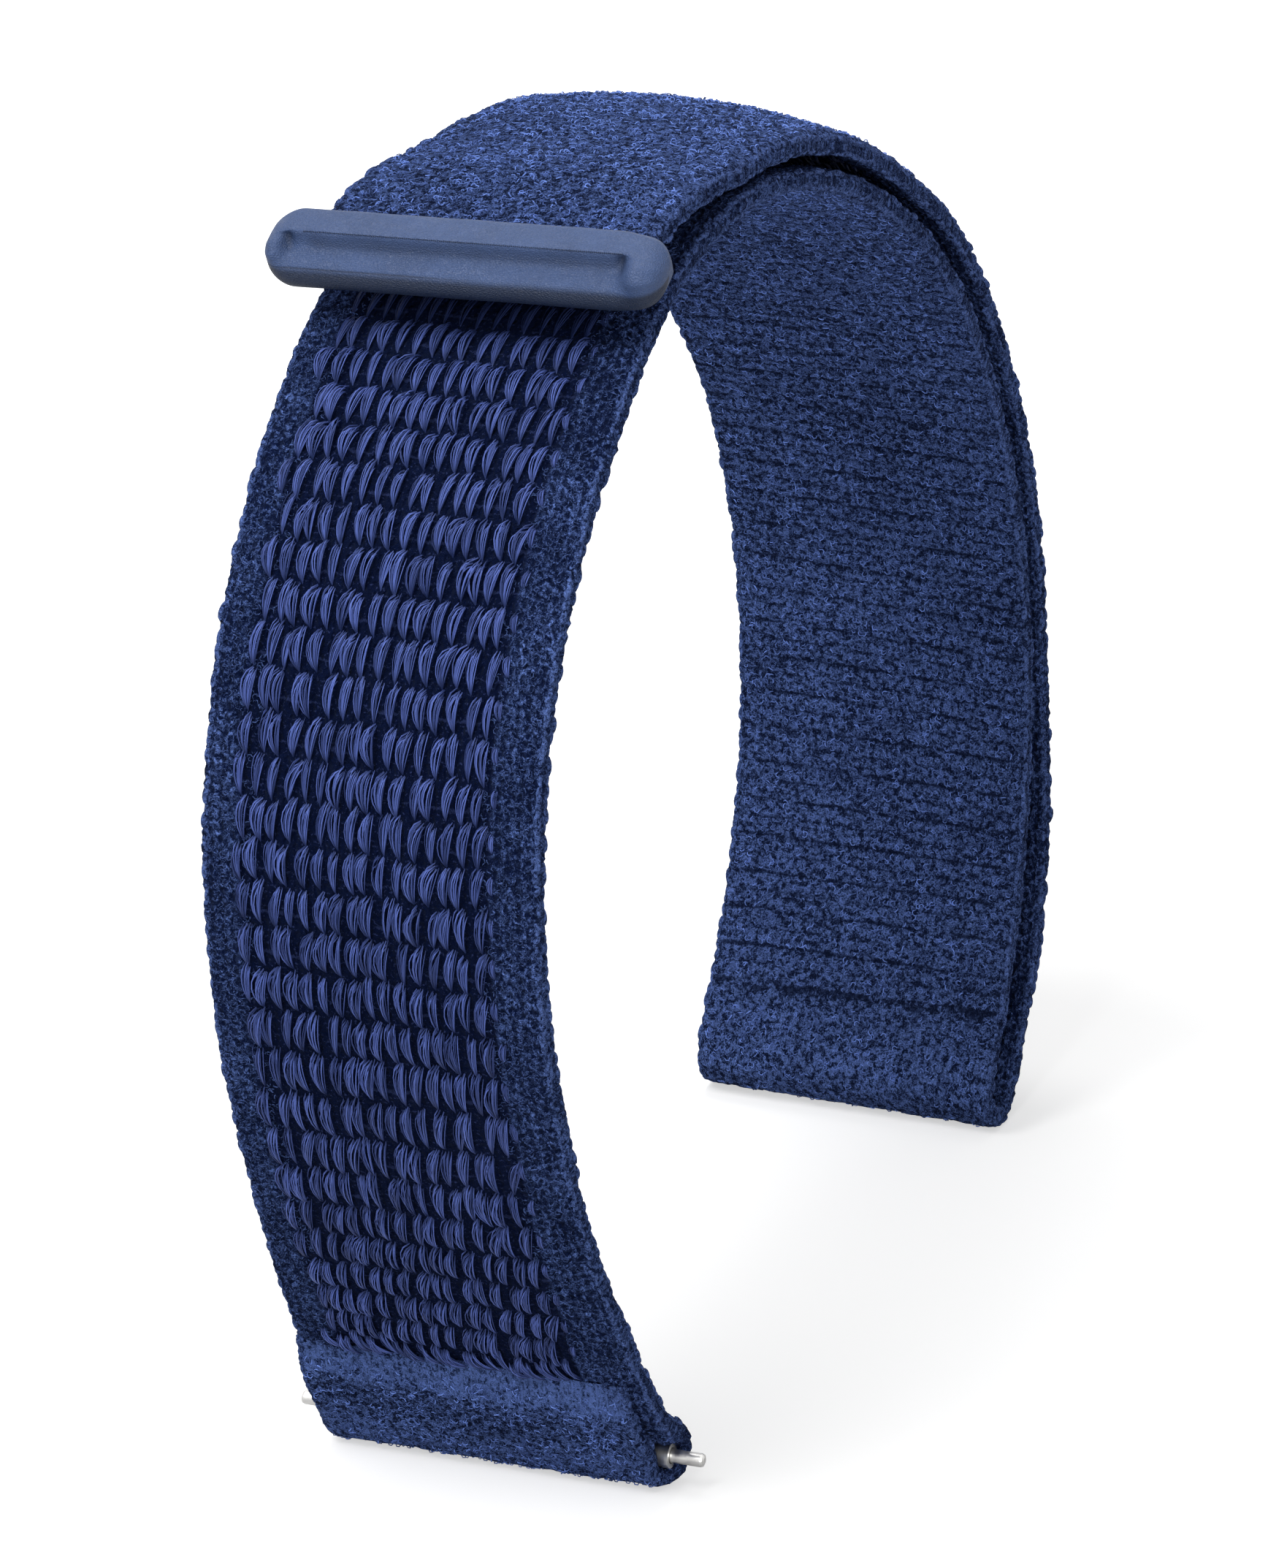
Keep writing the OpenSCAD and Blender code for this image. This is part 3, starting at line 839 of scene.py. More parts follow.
def crease_group(name):
    """Thin broken lines across the cloth at each course of the weave"""
    t = Group(name, {"Course": 0.0, "Width": 0.05, "Broken": 0.4}, ("Crease",))
    v, course, width, broken = t.given
    sway = t.noise(t.scaled(v, 0.5, 0.5), 1.0, 1.0)
    jag = t.noise(t.scaled(v, 4.4, 2.0), 1.0, 3.0, 0.8)
    shifted = course + ((sway * 0.20 - 0.10) + (jag * 0.26 - 0.13))
    off = ((shifted + 0.5).fraction() - 0.5).calc("ABSOLUTE")
    gaps = t.noise(t.scaled(v, 0.42, 0.5), 1.0, 3.0, 0.7)
    width = width * gaps.ramp(broken, broken + 0.16, 0.02, 1.0)
    return t.finish(1.0 - off.ramp(width * 0.3, width * 1.3))


# ---- Materials

BLACK, WHITE = (0, 0, 0, 1), (1, 1, 1, 1)


def rgba(colour, scale=1.0):
    return tuple(min(1.0, c * scale) for c in colour) + (1.0,)


class Material(Tree):
    """A material with one Principled shader"""

    def __init__(self, name):
        self.material = bpy.data.materials.new(name)
        self.material.use_nodes = True
        super().__init__(self.material.node_tree)
        self.data.nodes.clear()
        self.shader = self.add("ShaderNodeBsdfPrincipled")
        out = self.add("ShaderNodeOutputMaterial")
        self.data.links.new(self.shader.outputs[0], out.inputs["Surface"])

    def set(self, values, height=None, depth=0.0, strength=1.0):
        """Sets the shader's inputs, and its normal from a height in metres of depth"""
        for key, value in values.items():
            self.link(value, self.shader.inputs[key])
        if height:
            self.link(self.get("ShaderNodeBump", {
                "Height": height, "Distance": depth, "Strength": strength}),
                self.shader.inputs["Normal"])


def webbing_material(t, colours):
    """Knitted ground and selvedges on one face, brushed curls on the other, with painted shade in the creases, pits,
    gaps between fibres and on the ground under the pile
    """
    uv = t.get("ShaderNodeUVMap", uv_map="fabric")
    face, hollow, ground, ridge, course, clear, painted_light_tone = (t.attribute(name) for name in (
        "brushed", "hollow", "ground", "ridge", "course", "creased", "tone"))
    plain = 1.0 - face
    brushed_fibre, brushed_height = t.group("Curly yarn", uv, 8.5, 2.6, 0.7)
    knit_fibre, knit_height = t.group("Curly yarn", uv, 5.2, 3.0, 0.6)
    pit, stitch_height = t.group("Chain stitches", uv)
    line = t.group("Weft creases", uv, course, 0.066, 0.40)[0]
    half = t.group("Weft creases", uv, course + 0.5, 0.052, 0.42)[0]
    thread = t.group("Weft creases", uv, course + 0.66, 0.05, 0.45)[0]
    fibre = brushed_fibre * face + (knit_fibre * 0.62 + 0.29) * plain
    height = brushed_height * face + (knit_height * 0.5 + stitch_height) * plain
    # A painted highlight on the flap's pressed ridge, broken up in ribs, then the tone's painted light and shade over
    # all
    pressed = t.noise(t.scaled(uv, 5.0, 0.8), 1.0, 3.0, 0.6)
    fibre = fibre.most(ridge * (pressed * 1.5 - 0.15), clamp=True) * painted_light_tone
    light = t.mix(t.noise(uv, 0.35, 2.0, 0.6).ramp(0.3, 0.7),
                  rgba(colours.yarn, 0.9), rgba(colours.yarn, 1.12))
    # Gaps between the fibres, the creases and the knit's pits take painted shade
    shade = t.mix(fibre.ramp(0.37, 0.76), rgba(colours.hollow, 1.1), light)
    crease = (line.most(half * 0.85) * (face * clear)).most(pit * (plain * 0.95))
    shade = t.mix(hollow.most(crease) * 0.84, shade, rgba(colours.hollow))
    # The ground under the pile is painted near-black shade between the tufts, with lighter threads and specks
    specks = t.noise(uv, 5.0, 2.0, 0.6).ramp(0.56, 0.70)
    dark = t.mix((thread * 0.8).most(specks), rgba(colours.hollow, 0.9), rgba(colours.pile, 0.30))
    t.set({
        "Base Color": t.mix(ground, shade, dark),
        "Roughness": fibre.ramp(0.0, 1.0, 0.95, 0.72),
        "Specular IOR Level": 0.03,
        "Sheen Weight": 0.03, "Sheen Roughness": 0.5, "Sheen Tint": (0.35, 0.5, 1.0, 1.0),
    }, height, 0.0003)


def pile_material(t, colours):
    """Shiny filaments, each with its own shade, and painted shade where they dive into the ground and on the rows
    under the stop bar
    """
    along = t.attribute("along")
    # Painted shade at both ends of each filament, where it dives into the ground between the rows
    ends = along.ramp(0.05, 0.42, 0.16, 1.0) * along.ramp(0.78, 0.98, 1.0, 0.30)
    level = ends * t.attribute("shade").ramp(0.0, 1.0, 0.24, 1.25)
    t.set({
        "Base Color": t.mix(level, rgba(colours.hollow, 1.5), rgba(colours.pile, 1.15)),
        "Roughness": t.noise(t.coords(), 900.0).ramp(0.2, 0.8, 0.34, 0.5),
        "Specular IOR Level": 0.4, "Specular Tint": (0.5, 0.6, 1.0, 1.0),
    })


def loop_material(t, colours):
    """Bulked yarn of the selvedge's loops"""
    millimetres = t.scaled(t.coords(), 1000.0, 1000.0, 1000.0)
    fibre, height = t.group("Curly yarn", millimetres, 6.5, 3.0, 0.5)
    t.set({
        "Base Color": t.mix(fibre.ramp(0.15, 0.75), rgba(colours.hollow, 1.3),
                            rgba(colours.yarn, 0.72)),
        "Roughness": fibre.ramp(0.0, 1.0, 0.95, 0.75),
        "Specular IOR Level": 0.08,
    }, height, 0.00015)


def curl_material(t, colours):
    """Fine crimped fibres of the brushed face"""
    patch = t.noise(t.coords(), 700.0, 2.0, 0.6)
    level = t.attribute("shade").ramp(0.0, 1.0, 0.24, 0.95) * patch.ramp(0.3, 0.7, 0.75, 1.05)
    t.set({
        "Base Color": t.mix(level, rgba(colours.hollow, 1.5), rgba(colours.yarn, 1.05)),
        "Roughness": patch.ramp(0.2, 0.8, 0.65, 0.85),
        "Specular IOR Level": 0.1,
    })


def hook_material(t, colours):
    """Stiff monofilament hooks and their tape"""
    grain = t.noise(t.coords(), 1400.0)
    t.set({
        "Base Color": t.mix(grain.ramp(0.3, 0.7), rgba(colours.yarn, 0.28),
                            rgba(colours.yarn, 0.5)),
        "Roughness": grain.ramp(0.2, 0.8, 0.3, 0.5),
    })


def bar_material(t, colours):
    """Moulded elastomer with a fine leather grain, darkened with painted shade where the groove shade attribute says
    """
    coords = t.coords()
    cells = t.get("ShaderNodeTexVoronoi", {
        "Vector": t.scaled(coords, 1.0, 0.7), "Scale": 7600.0, "Randomness": 1.0}, "Distance",
        feature="DISTANCE_TO_EDGE")
    fine = t.noise(coords, 9000.0, 3.0, 0.6)
    level = t.noise(coords, 420.0, 3.0, 0.6) * 0.5 + fine * 0.5
    shade = t.mix(level.ramp(0.3, 0.7), rgba(colours.bar, 0.84), rgba(colours.bar, 1.12))
    rub = t.noise(t.scaled(coords, 1.0, 0.25), 1500.0, 2.0, 0.7)
    t.set({
        # Painted shade in the seam, the dents, the channel and under the bar
        "Base Color": t.mix(t.attribute("groove"), shade, rgba(colours.bar, 0.20)),
        "Roughness": rub.ramp(0.3, 0.7, 0.34, 0.50),
        "Specular IOR Level": 0.32,
    }, cells.ramp(0.02, 0.25) * 0.45 + fine * 0.8, 0.000045)


def steel_material(t, colours):
    """Turned and polished steel with fine rings round the bar's axis"""
    coords = t.coords()
    rings = t.noise(t.scaled(coords, 60.0, 9000.0, 60.0), 1.0, 2.0, 0.6)
    stain = t.noise(coords, 1100.0, 3.0, 0.6)
    t.set({
        "Base Color": t.mix(stain.ramp(0.35, 0.7), rgba(colours.steel), rgba(colours.steel, 0.82)),
        "Roughness": rings.ramp(0.25, 0.75, 0.28, 0.44),
        "Metallic": 1.0,
    }, rings, 0.000006, 0.6)


def floor_material(t, colours):
    """Pale paper that the camera sees fade to white with distance"""
    coords = t.coords()
    away = t.get("ShaderNodeVectorMath", {0: coords}, "Value", operation="LENGTH")
    seen = t.get("ShaderNodeLightPath", None, "Is Camera Ray")
    t.set({
        "Base Color": t.mix(t.noise(coords, 30.0), (0.64, 0.64, 0.64, 1), (0.66, 0.66, 0.66, 1)),
        "Emission Color": t.mix(seen * away.ramp(0.09, 0.30, 0.53, 1.0), BLACK, WHITE),
        "Emission Strength": 1.0, "Roughness": 0.9, "Specular IOR Level": 0.1,
    })


MATERIALS = {
    "woven_strap_yarn": webbing_material, "loop_pile_filament": pile_material,
    "selvedge_loop_yarn": loop_material, "brushed_curl_fibre": curl_material,
    "hook_tape_nylon": hook_material, "moulded_bar_elastomer": bar_material,
    "polished_spring_steel": steel_material, "floor_paper": floor_material,
}


def material_for(name):
    """The named material, made on first use from the scene's colours"""
    found = bpy.data.materials.get(name)
    if found:
        return found
    tree = Material(name)
    MATERIALS[name](tree, bpy.context.scene.band_colours)
    return tree.material


# ---- Geometry Nodes

SOCKETS = {int: "NodeSocketInt", float: "NodeSocketFloat"}


class PointTree(Tree):
    """Geometry Nodes that stand a small piece on each point of a mesh"""

    def __init__(self, name, inputs):
        super().__init__(bpy.data.node_groups.new(name, "GeometryNodeTree"))
        face = self.data.interface
        face.new_socket(name="Geometry", in_out="INPUT", socket_type="NodeSocketGeometry")
        for label, default in inputs.items():
            face.new_socket(name=label, in_out="INPUT",
                            socket_type=SOCKETS[type(default)]).default_value = default
        face.new_socket(name="Material", in_out="INPUT", socket_type="NodeSocketMaterial")
        face.new_socket(name="Geometry", in_out="OUTPUT", socket_type="NodeSocketGeometry")
        outputs = self.add("NodeGroupInput").outputs
        self.given = {socket.name: Value(self, socket) for socket in outputs}
        self.exit = self.add("NodeGroupOutput")

    def vector(self, x=0.0, y=0.0, z=0.0):
        return self.get("ShaderNodeCombineXYZ", {0: x, 1: y, 2: z})

    def rotation(self, x=0.0, y=0.0, z=0.0):
        return self.get("FunctionNodeEulerToRotation", {0: self.vector(x, y, z)})

    def then(self, first, second):
        """One rotation after another, each about the piece's own axes"""
        return self.get("FunctionNodeRotateRotation", {0: first, 1: second},
                        rotation_space="LOCAL")

    def stance(self):
        """Turns X along the strap at a point"""
        return self.rotation(y=self.stored("heading") * -1.0)

    def stored(self, name):
        return self.get("GeometryNodeInputNamedAttribute", {"Name": name}, data_type="FLOAT")

    def random(self, low, high, step):
        return self.get("FunctionNodeRandomValue", {
            2: low, 3: high, "Seed": self.given["Seed"] + float(step)}, 1, data_type="FLOAT")

    def named(self, geometry, name, value, domain):
        return self.get("GeometryNodeStoreNamedAttribute", {
            "Geometry": geometry, "Name": name, "Value": value}, data_type="FLOAT", domain=domain)

    def bezier(self, steps, start, handle, other_handle, end):
        return self.get("GeometryNodeCurvePrimitiveBezierSegment", {
            "Resolution": steps, "Start": start, "Start Handle": handle,
            "End Handle": other_handle, "End": end})

    def wire(self, curve, sides, radius):
        profile = self.get("GeometryNodeCurvePrimitiveCircle", {
            "Resolution": sides, "Radius": radius})
        return self.get("GeometryNodeCurveToMesh", {
            "Curve": curve, "Profile Curve": profile, "Fill Caps": True})

    def stand(self, piece, shade=None, points=None, **values):
        """Puts the piece on every point, with its rotation and scale, and ends the tree"""
        placed = self.get("GeometryNodeInstanceOnPoints", {
            "Points": points or self.given["Geometry"], "Instance": piece, **values})
        if shade:
            placed = self.named(placed, "shade", shade, "INSTANCE")
        real = self.get("GeometryNodeRealizeInstances", {0: placed})
        self.link(self.get("GeometryNodeSetMaterial", {
            "Geometry": real, "Material": self.given["Material"]}), self.exit.inputs[0])
        return self.data


def tuft_tree(name):
    """Turns each point into a tuft: filaments that share two ends and fan out between them"""
    t = PointTree(name, {
        "Filaments": 10, "Segments": 6, "Sides": 3, "Radius": 0.00004, "Bulge": 0.0005,
        "Fan from": -0.2, "Fan to": 1.35, "Splay": 0.085, "Seed": 1})
    given = t.given
    # One filament, one millimetre long, along X, bulging along Z and diving at its far end
    line = t.bezier(given["Segments"], (0, 0, 0), t.vector(0.24 * MM, 0.0, given["Bulge"] * 1.1),
                    t.vector(0.84 * MM, 0.0, given["Bulge"] * 1.5), (MM, 0, 0))
    spot = t.get("GeometryNodeSplineParameter", None, "Factor")
    thin = 1.0 - (spot * 2.0 - 1.0).calc("ABSOLUTE").calc("POWER", 3.0) * 0.45
    strand = t.wire(t.get("GeometryNodeSetCurveRadius", {
        "Curve": t.named(line, "along", spot, "POINT"), "Radius": thin}),
        given["Sides"], given["Radius"])
    copies = t.add("GeometryNodeDuplicateElements", {
        "Geometry": given["Geometry"], "Amount": given["Filaments"]}, domain="POINT")
    order = ((Value(t, copies.outputs["Duplicate Index"]) + t.random(-0.5, 0.5, 1))
             / (given["Filaments"] - 1.0).most(1.0))
    roll = given["Fan from"] + order * (given["Fan to"] - given["Fan from"])
    splay = ((order * -1.6 + 0.8) + t.random(-0.6, 0.6, 2)) * given["Splay"]
    leant = t.then(t.stance(), t.rotation(z=t.stored("yaw") + splay * -1.0))
    # Each filament's shade is random times its tuft's tone, which holds the painted shadow under the stop bar
    return t.stand(
        strand, t.random(0.0, 1.05, 5) * t.stored("tone"), Value(t, copies.outputs["Geometry"]),
        Rotation=t.then(leant, t.rotation(x=roll * -1.0)),
        Scale=t.vector(t.stored("reach") * t.random(0.84, 1.06, 3), 1.0,
                       t.stored("full") * t.random(0.6, 1.2, 4)))


def hook_tree(name):
    """Stands a small closed hook on each point"""
    t = PointTree(name, {"Height": 0.00045, "Wire radius": 0.00007, "Seed": 5})
    up = t.given["Height"]
    bend = t.bezier(7, (0, 0, 0), t.vector(z=up * 1.7), t.vector(up * 0.75, 0.0, up * 1.35),
                    t.vector(up * 0.62, 0.0, up * 0.5))
    return t.stand(t.wire(bend, 4, t.given["Wire radius"]),
                   Rotation=t.then(t.stance(), t.rotation(z=t.random(-0.5, 0.5, 0))))


def loop_tree(name):
    """Sets a short bent loop of yarn on each point, along its heading and out of its edge"""
    t = PointTree(name, {
        "Half length": 0.0004, "Stand out": 0.00016, "Yarn radius": 0.00017, "Seed": 3})
    reach, out = t.given["Half length"], t.given["Stand out"] * 1.3
    arc = t.bezier(6, t.vector(reach * -1.0), t.vector(reach * -0.8, out),
                   t.vector(reach * 0.8, out), t.vector(reach))
    turn = t.rotation(x=t.random(-0.5, 0.5, 1), z=t.stored("side") + t.random(-0.28, 0.28, 2))
    return t.stand(t.wire(arc, 6, t.given["Yarn radius"]), Rotation=t.then(t.stance(), turn),
                   Scale=t.random(0.8, 1.2, 3))


# Shares of a curl's half length, bow and rise at the four corners of its curve
CURL_CORNERS = ((-1.0, -0.4, -0.6), (-0.9, 1.2, 1.6), (0.9, 1.2, 1.3), (1.0, -0.4, -0.6))


def curl_tree(name):
    """Lays a short curled fibre on each point, turned at random"""
    t = PointTree(name, {
        "Half length": 0.00015, "Bow": 0.00012, "Rise": 0.00007, "Radius": 0.000032, "Seed": 3})
    corners = (t.vector(t.given["Half length"] * x, t.given["Bow"] * y, t.given["Rise"] * z)
               for x, y, z in CURL_CORNERS)
    turn = t.rotation(x=t.random(-0.7, 0.7, 1), z=t.random(0.0, 6.28, 2))
    return t.stand(t.wire(t.bezier(3, *corners), 3, t.given["Radius"]), t.random(0.0, 1.0, 5),
                   Rotation=t.then(t.stance(), turn), Scale=t.random(0.7, 1.35, 3))


def dot_tree(name):
    """Sets a small dome on each point"""
    t = PointTree(name, {"Radius": 0.00004})
    return t.stand(t.get("GeometryNodeMeshIcoSphere", {
        "Subdivisions": 1, "Radius": t.given["Radius"]}))


SHARED = {
    "Curly yarn": curly_yarn_group, "Chain stitches": chain_group, "Weft creases": crease_group,
    "loop tufts": tuft_tree, "tape hooks": hook_tree, "selvedge loops": loop_tree,
    "brushed curls": curl_tree, "mould dots": dot_tree,
}


def shared(name):
    """The named node group, made on first use"""
    return bpy.data.node_groups.get(name) or SHARED[name](name)


def grown(name, tree, slot, points, attributes, **inputs):
    """A plain mesh of small pieces that a shared tree stands on points, in a material slot"""
    mesh = bpy.data.meshes.new(name)
    mesh.vertices.add(len(points))
    mesh.vertices.foreach_set("co", (np.asarray(points, np.float32) * MM).ravel())
    mesh.update()
    put_attributes(mesh, attributes)
    source = linked(name + "_points", mesh)
    modifier = source.modifiers.new(tree, "NODES")
    modifier.node_group = shared(tree)
    for item in modifier.node_group.interface.items_tree:
        if item.item_type == "SOCKET" and item.in_out == "INPUT" and item.name in inputs:
            modifier[item.identifier] = inputs[item.name]
    graph = bpy.context.evaluated_depsgraph_get()
    mesh = bpy.data.meshes.new_from_object(source.evaluated_get(graph), depsgraph=graph)
    bpy.data.objects.remove(source)
    piece = linked(name, mesh)
    if len(mesh.polygons) == 0:
        raise RuntimeError(f"{name} came out empty")
    shade_smooth(piece)
    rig.slot(piece, slot)
    return piece


# ---- Strap


def at3(p):
    return (float(p[0]) * MM, 0.0, float(p[1]) * MM)


def leg_bend():
    """Places between which the front leg's pieces bend"""
    return {key: at3(LINE.at(s, 0)) for key, s in zip(("start", "end"), LEG_BEND)}


def tail_bend():
    """Places between which the tail's pieces bend"""
    offsets = LINE.outer(np.array(TAIL_BEND))
    return {key: at3(LINE.at(s, o)) for key, s, o in zip(("start", "end"), TAIL_BEND, offsets)}


# The hem's near edge is set in by this much where the bar's end shows
NEAR_INSET = 1.05


def front_path(width, ring):
    """Flap from its pressed end, round the bar, then up the front to the crown"""
    s = np.arange(FLAP_TOP, 0, -ring)
    thick = soft_interp(s, *FLAP_THICK)
    near, far = edges_of(s, width)
    flap = Path(LINE.at(s, soft_interp(s, *FLAP_FACE) - thick / 2), -left_of(LINE.heading(s)),
                thick, near + NEAR_INSET, far, -WRAP_LEN - s, lambda y: 0 * y)
    count = int(WRAP_LEN / ring)
    angle = np.linspace(0, math.pi, count + 2)[1:-1]
    hem, lead = LINE.at(np.array([0.0]), 0)[0], float(LINE.heading(np.array([0.0]))[0])
    out = np.stack([-np.sin(lead) * np.ones(count), np.cos(lead) * np.ones(count)], -1)
    down = np.stack([-np.cos(lead) * np.ones(count), -np.sin(lead) * np.ones(count)], -1)
    radial = out * np.cos(angle)[:, None] + down * np.sin(angle)[:, None]
    near, far = edges_of(np.zeros(count), width)
    near = near + NEAR_INSET * (1 - smooth(angle, 0.0, 1.7)) + 0.12 * np.sin(angle)
    tuck = 1.25 * np.sin(angle) ** 1.5
    wrap = Path(hem + radial * WRAP_R, -radial, np.full(count, WRAP_T), near, far - tuck,
                -WRAP_LEN + WRAP_R * angle, lambda y: 0 * y)
    s2 = np.arange(0, FRONT_TO + ring / 2, ring)
    main = run_path(s2, "inner", s2, width)
    main.thick = soft_interp(s2, *LEG_THICK)
    main.centre = LINE.at(s2, soft_interp(s2, *LEG_FACE) + main.thick / 2)
    fade = smooth(s2, 3.0, 14.0)[:, None]
    wave = main.wave
    main.wave = lambda y: wave(y) * fade
    return joined([flap, wrap, main])


def back_path(width, ring):
    """From the crown down the back, round the fold and up the outer run"""
    s = np.arange(FRONT_TO, RUN, ring)
    up = run_path(s, "inner", s, width)
    count = int(FOLD_LEN / ring)
    a = np.linspace(0, math.pi, count + 2)[1:-1]
    heading = float(LINE.heading(np.array([RUN]))[0])
    middle = LINE.at(np.array([RUN]), HALF_FOLD)[0]
    radial = turned(np.stack([np.sin(a), -np.cos(a)], -1), heading)
    turn = a[:, None] / math.pi

    def fold_wave(y):
        run = np.full_like(y, RUN)
        return inner_wave(run, y) * (1 - turn) - outer_wave(run, y) * turn

    fold = Path(middle + radial * HALF_FOLD, -radial, np.full(count, WEB_T),
                *edges_of(np.full(count, RUN), width), RUN + HALF_FOLD * a, fold_wave)
    s3 = np.arange(RUN, TAIL_FROM - ring / 2, -ring)
    return joined([up, fold, run_path(s3, "outer", CROWN + (RUN - s3), width)])


def tail_path(width, ring):
    s = np.arange(TAIL_FROM, TAIL_END + 0.8, -ring)
    return run_path(s, "outer", CROWN + (RUN - s), width)


class Rings:
    """A path's sizes and offsets at any length along the cloth"""

    SPAN, COLUMNS = 12.0, 25

    def __init__(self, path):
        self.path, self.order = path, np.argsort(path.v)
        self.v = path.v[self.order]
        self.near, self.far, self.thick, self.centre, self.left = (
            getattr(path, key)[self.order] for key in ("near", "far", "thick", "centre", "left"))

    def pick(self, v, *columns):
        """Values of columns at the lengths v, then the centre's X and Z and the left normal's"""
        return (np.interp(v, self.v, one) for one in (*columns, *self.centre.T, *self.left.T))

    def edge_lift(self, y):
        """The fabric's wave at a place across for each ring"""
        return self.path.wave(y[np.argsort(self.order)][:, None])[:, 0][self.order]

    def lift(self, v, y):
        """The fabric's wave at scattered places, from the rings on either side"""
        count = len(self.order)
        columns = np.linspace(-self.SPAN, self.SPAN, self.COLUMNS)
        grid = np.broadcast_to(columns[None, :], (count, self.COLUMNS)).copy()
        grid = self.path.wave(grid)[self.order]
        rings = np.interp(v, self.v, np.arange(count, dtype=float))
        i = np.clip(rings.astype(int), 0, count - 2)
        j = np.clip((y + self.SPAN).astype(int), 0, self.COLUMNS - 2)
        a, b = rings - i, y + self.SPAN - j
        return ((grid[i, j] * (1 - b) + grid[i, j + 1] * b) * (1 - a)
                + (grid[i + 1, j] * (1 - b) + grid[i + 1, j + 1] * b) * a)


# In mm: pitch along, how far the loops' middles lie inside the edge and where their offset is
# read, and the scatter of their length, offset and place across
LOOP_PITCH, LOOP_INSET, LOOP_READ, LOOP_SCATTER = 0.70, 0.43, 0.3, (0.06, 0.05, 0.03)
# The flap's fold and end, where no edge loops show
BARE_EDGE = (-5.6, 1.8)


def edge_loops(name, path, seed):
    """Loops of yarn along both edges of a stretch of webbing, in two staggered rows"""
    rng = np.random.default_rng(seed)
    rings, found = Rings(path), []
    for side, edge in ((-1, rings.near), (1, rings.far)):
        lift = rings.edge_lift(edge - side * LOOP_READ)
        for row in (-1, 1):
            at = np.arange(rings.v[0] + 0.5 + 0.25 * row * LOOP_PITCH, rings.v[-1] - 0.4,
                           LOOP_PITCH)
            at = at[(at < BARE_EDGE[0]) | (at > BARE_EDGE[1])]
            at = at + rng.normal(0, LOOP_SCATTER[0], len(at))
            up, thick, edge_y, x, z, nx, nz = rings.pick(at, lift, rings.thick, edge)
            rise = up + row * 0.30 * thick + rng.normal(0, LOOP_SCATTER[1], len(at))
            length = np.hypot(nx, nz)
            nx, nz = nx / length, nz / length
            y = edge_y - side * LOOP_INSET + rng.normal(0, LOOP_SCATTER[2], len(at))
            found.append(np.stack([x + nx * rise, y, z + nz * rise, np.arctan2(-nx, nz),
                                   np.full(len(at), 0.0 if side > 0 else math.pi)], -1))
    found = np.concatenate(found)
    return grown(name, "selvedge loops", "woven_strap", found[:, :3],
                 {"heading": found[:, 3], "side": found[:, 4]},
                 Material=material_for("selvedge_loop_yarn"), Seed=seed)


CURL_FIELD = 20.5
NEAR_SELVEDGE, FAR_SELVEDGE = 2.9, 2.7


def curl_points(path, rows, from_v, to_v, density, seed, plain):
    """Scattered points on the brushed face, or on the selvedges of the plain one"""
    rng = np.random.default_rng(seed)
    rings = Rings(path)
    count = int((to_v - from_v) * CURL_FIELD * density)
    v, w = rng.uniform(from_v, to_v, count), rng.uniform(-1, 1, count)
    near, far, thick, x, z, nx, nz = rings.pick(v, rings.near, rings.far, rings.thick)
    half_t = thick / 2
    y = (near + far) / 2 + w * ((far - near) / 2 - half_t)
    if plain:
        y = np.where(w > 0, far - half_t - (1 - w) * FAR_SELVEDGE,
                     near + half_t + (1 + w) * NEAR_SELVEDGE)
    height, _, _, course = relief(y, v, np.full(count, 0.0 if plain else 1.0), rows)
    off_row, off_half = np.abs((course + 0.5) % 1 - 0.5), np.abs(course % 1 - 0.5)
    free = 1 if plain else 1 - np.interp(v, *CREASED) * np.clip(
        1.4 - np.minimum(off_row, off_half + 0.02) / 0.075, 0, 1)
    clump = np.clip(0.62 + 1.1 * noise(y / 0.42, v / 0.38, 23), 0.05, 1)
    keep = rng.random(count) < free * clump
    lift = rings.lift(v, y)
    rise = lift + half_t + height if plain else lift - half_t - height
    heading = np.arctan2(-nx, nz) + (0 if plain else math.pi)
    return np.stack([x + nx * rise, y, z + nz * rise], -1)[keep], heading[keep]


def curls(name, path, rows, spans, seed, plain):
    """Curled fibres over stretches of one face: (from, to, fibres per square mm)"""
    points, headings = zip(*(curl_points(path, rows, *span, seed + i, plain)
                             for i, span in enumerate(spans)))
    material = "selvedge_loop_yarn" if plain else "brushed_curl_fibre"
    return grown(name, "brushed curls", "woven_strap", np.concatenate(points),
                 {"heading": np.concatenate(headings)}, Material=material_for(material), Seed=seed)


CURL_DENSITY, WEB_STEP = (3.5, 12.0), (0.5, 0.25)
LOWER_FROM = 124.0
PARTS, LOOP_SEED = ("front", "back", "tail"), 21


def curl_table(full):
    """Piece, stretch, on the plain face, seed, and its spans of lengths and density"""
    crown_to_tail = CROWN + RUN - TAIL_FROM
    return (
        ("hem_curls", 0, False, 31, ((-11.2, 0.0, full), (0.0, 40.0, 2.0))),
        ("leg_edge_curls", 0, True, 33, ((2.0, 42.0, full * 0.3),)),
        ("front_curls", 0, False, 34, ((40.0, FRONT_TO - 0.5, 2.0),)),
        ("edge_curls", 0, True, 36, ((42.0, 84.0, full * 0.3),)),
        ("inner_curls", 1, False, 37, ((FRONT_TO + 0.5, LOWER_FROM, full * 0.9),)),
        ("lower_curls", 1, False, 38, ((LOWER_FROM, RUN + 2, full * 0.9),)),
        ("outer_curls", 1, False, 40, ((RUN + 2, CROWN + 30, 2.5),
                                       (CROWN + 30, crown_to_tail - 0.5, full * 0.7))),
        ("tail_curls", 2, False, 43,
         ((crown_to_tail + 0.5, CROWN + TAIL_LEN - 1.0, full * 0.95),)),
    )


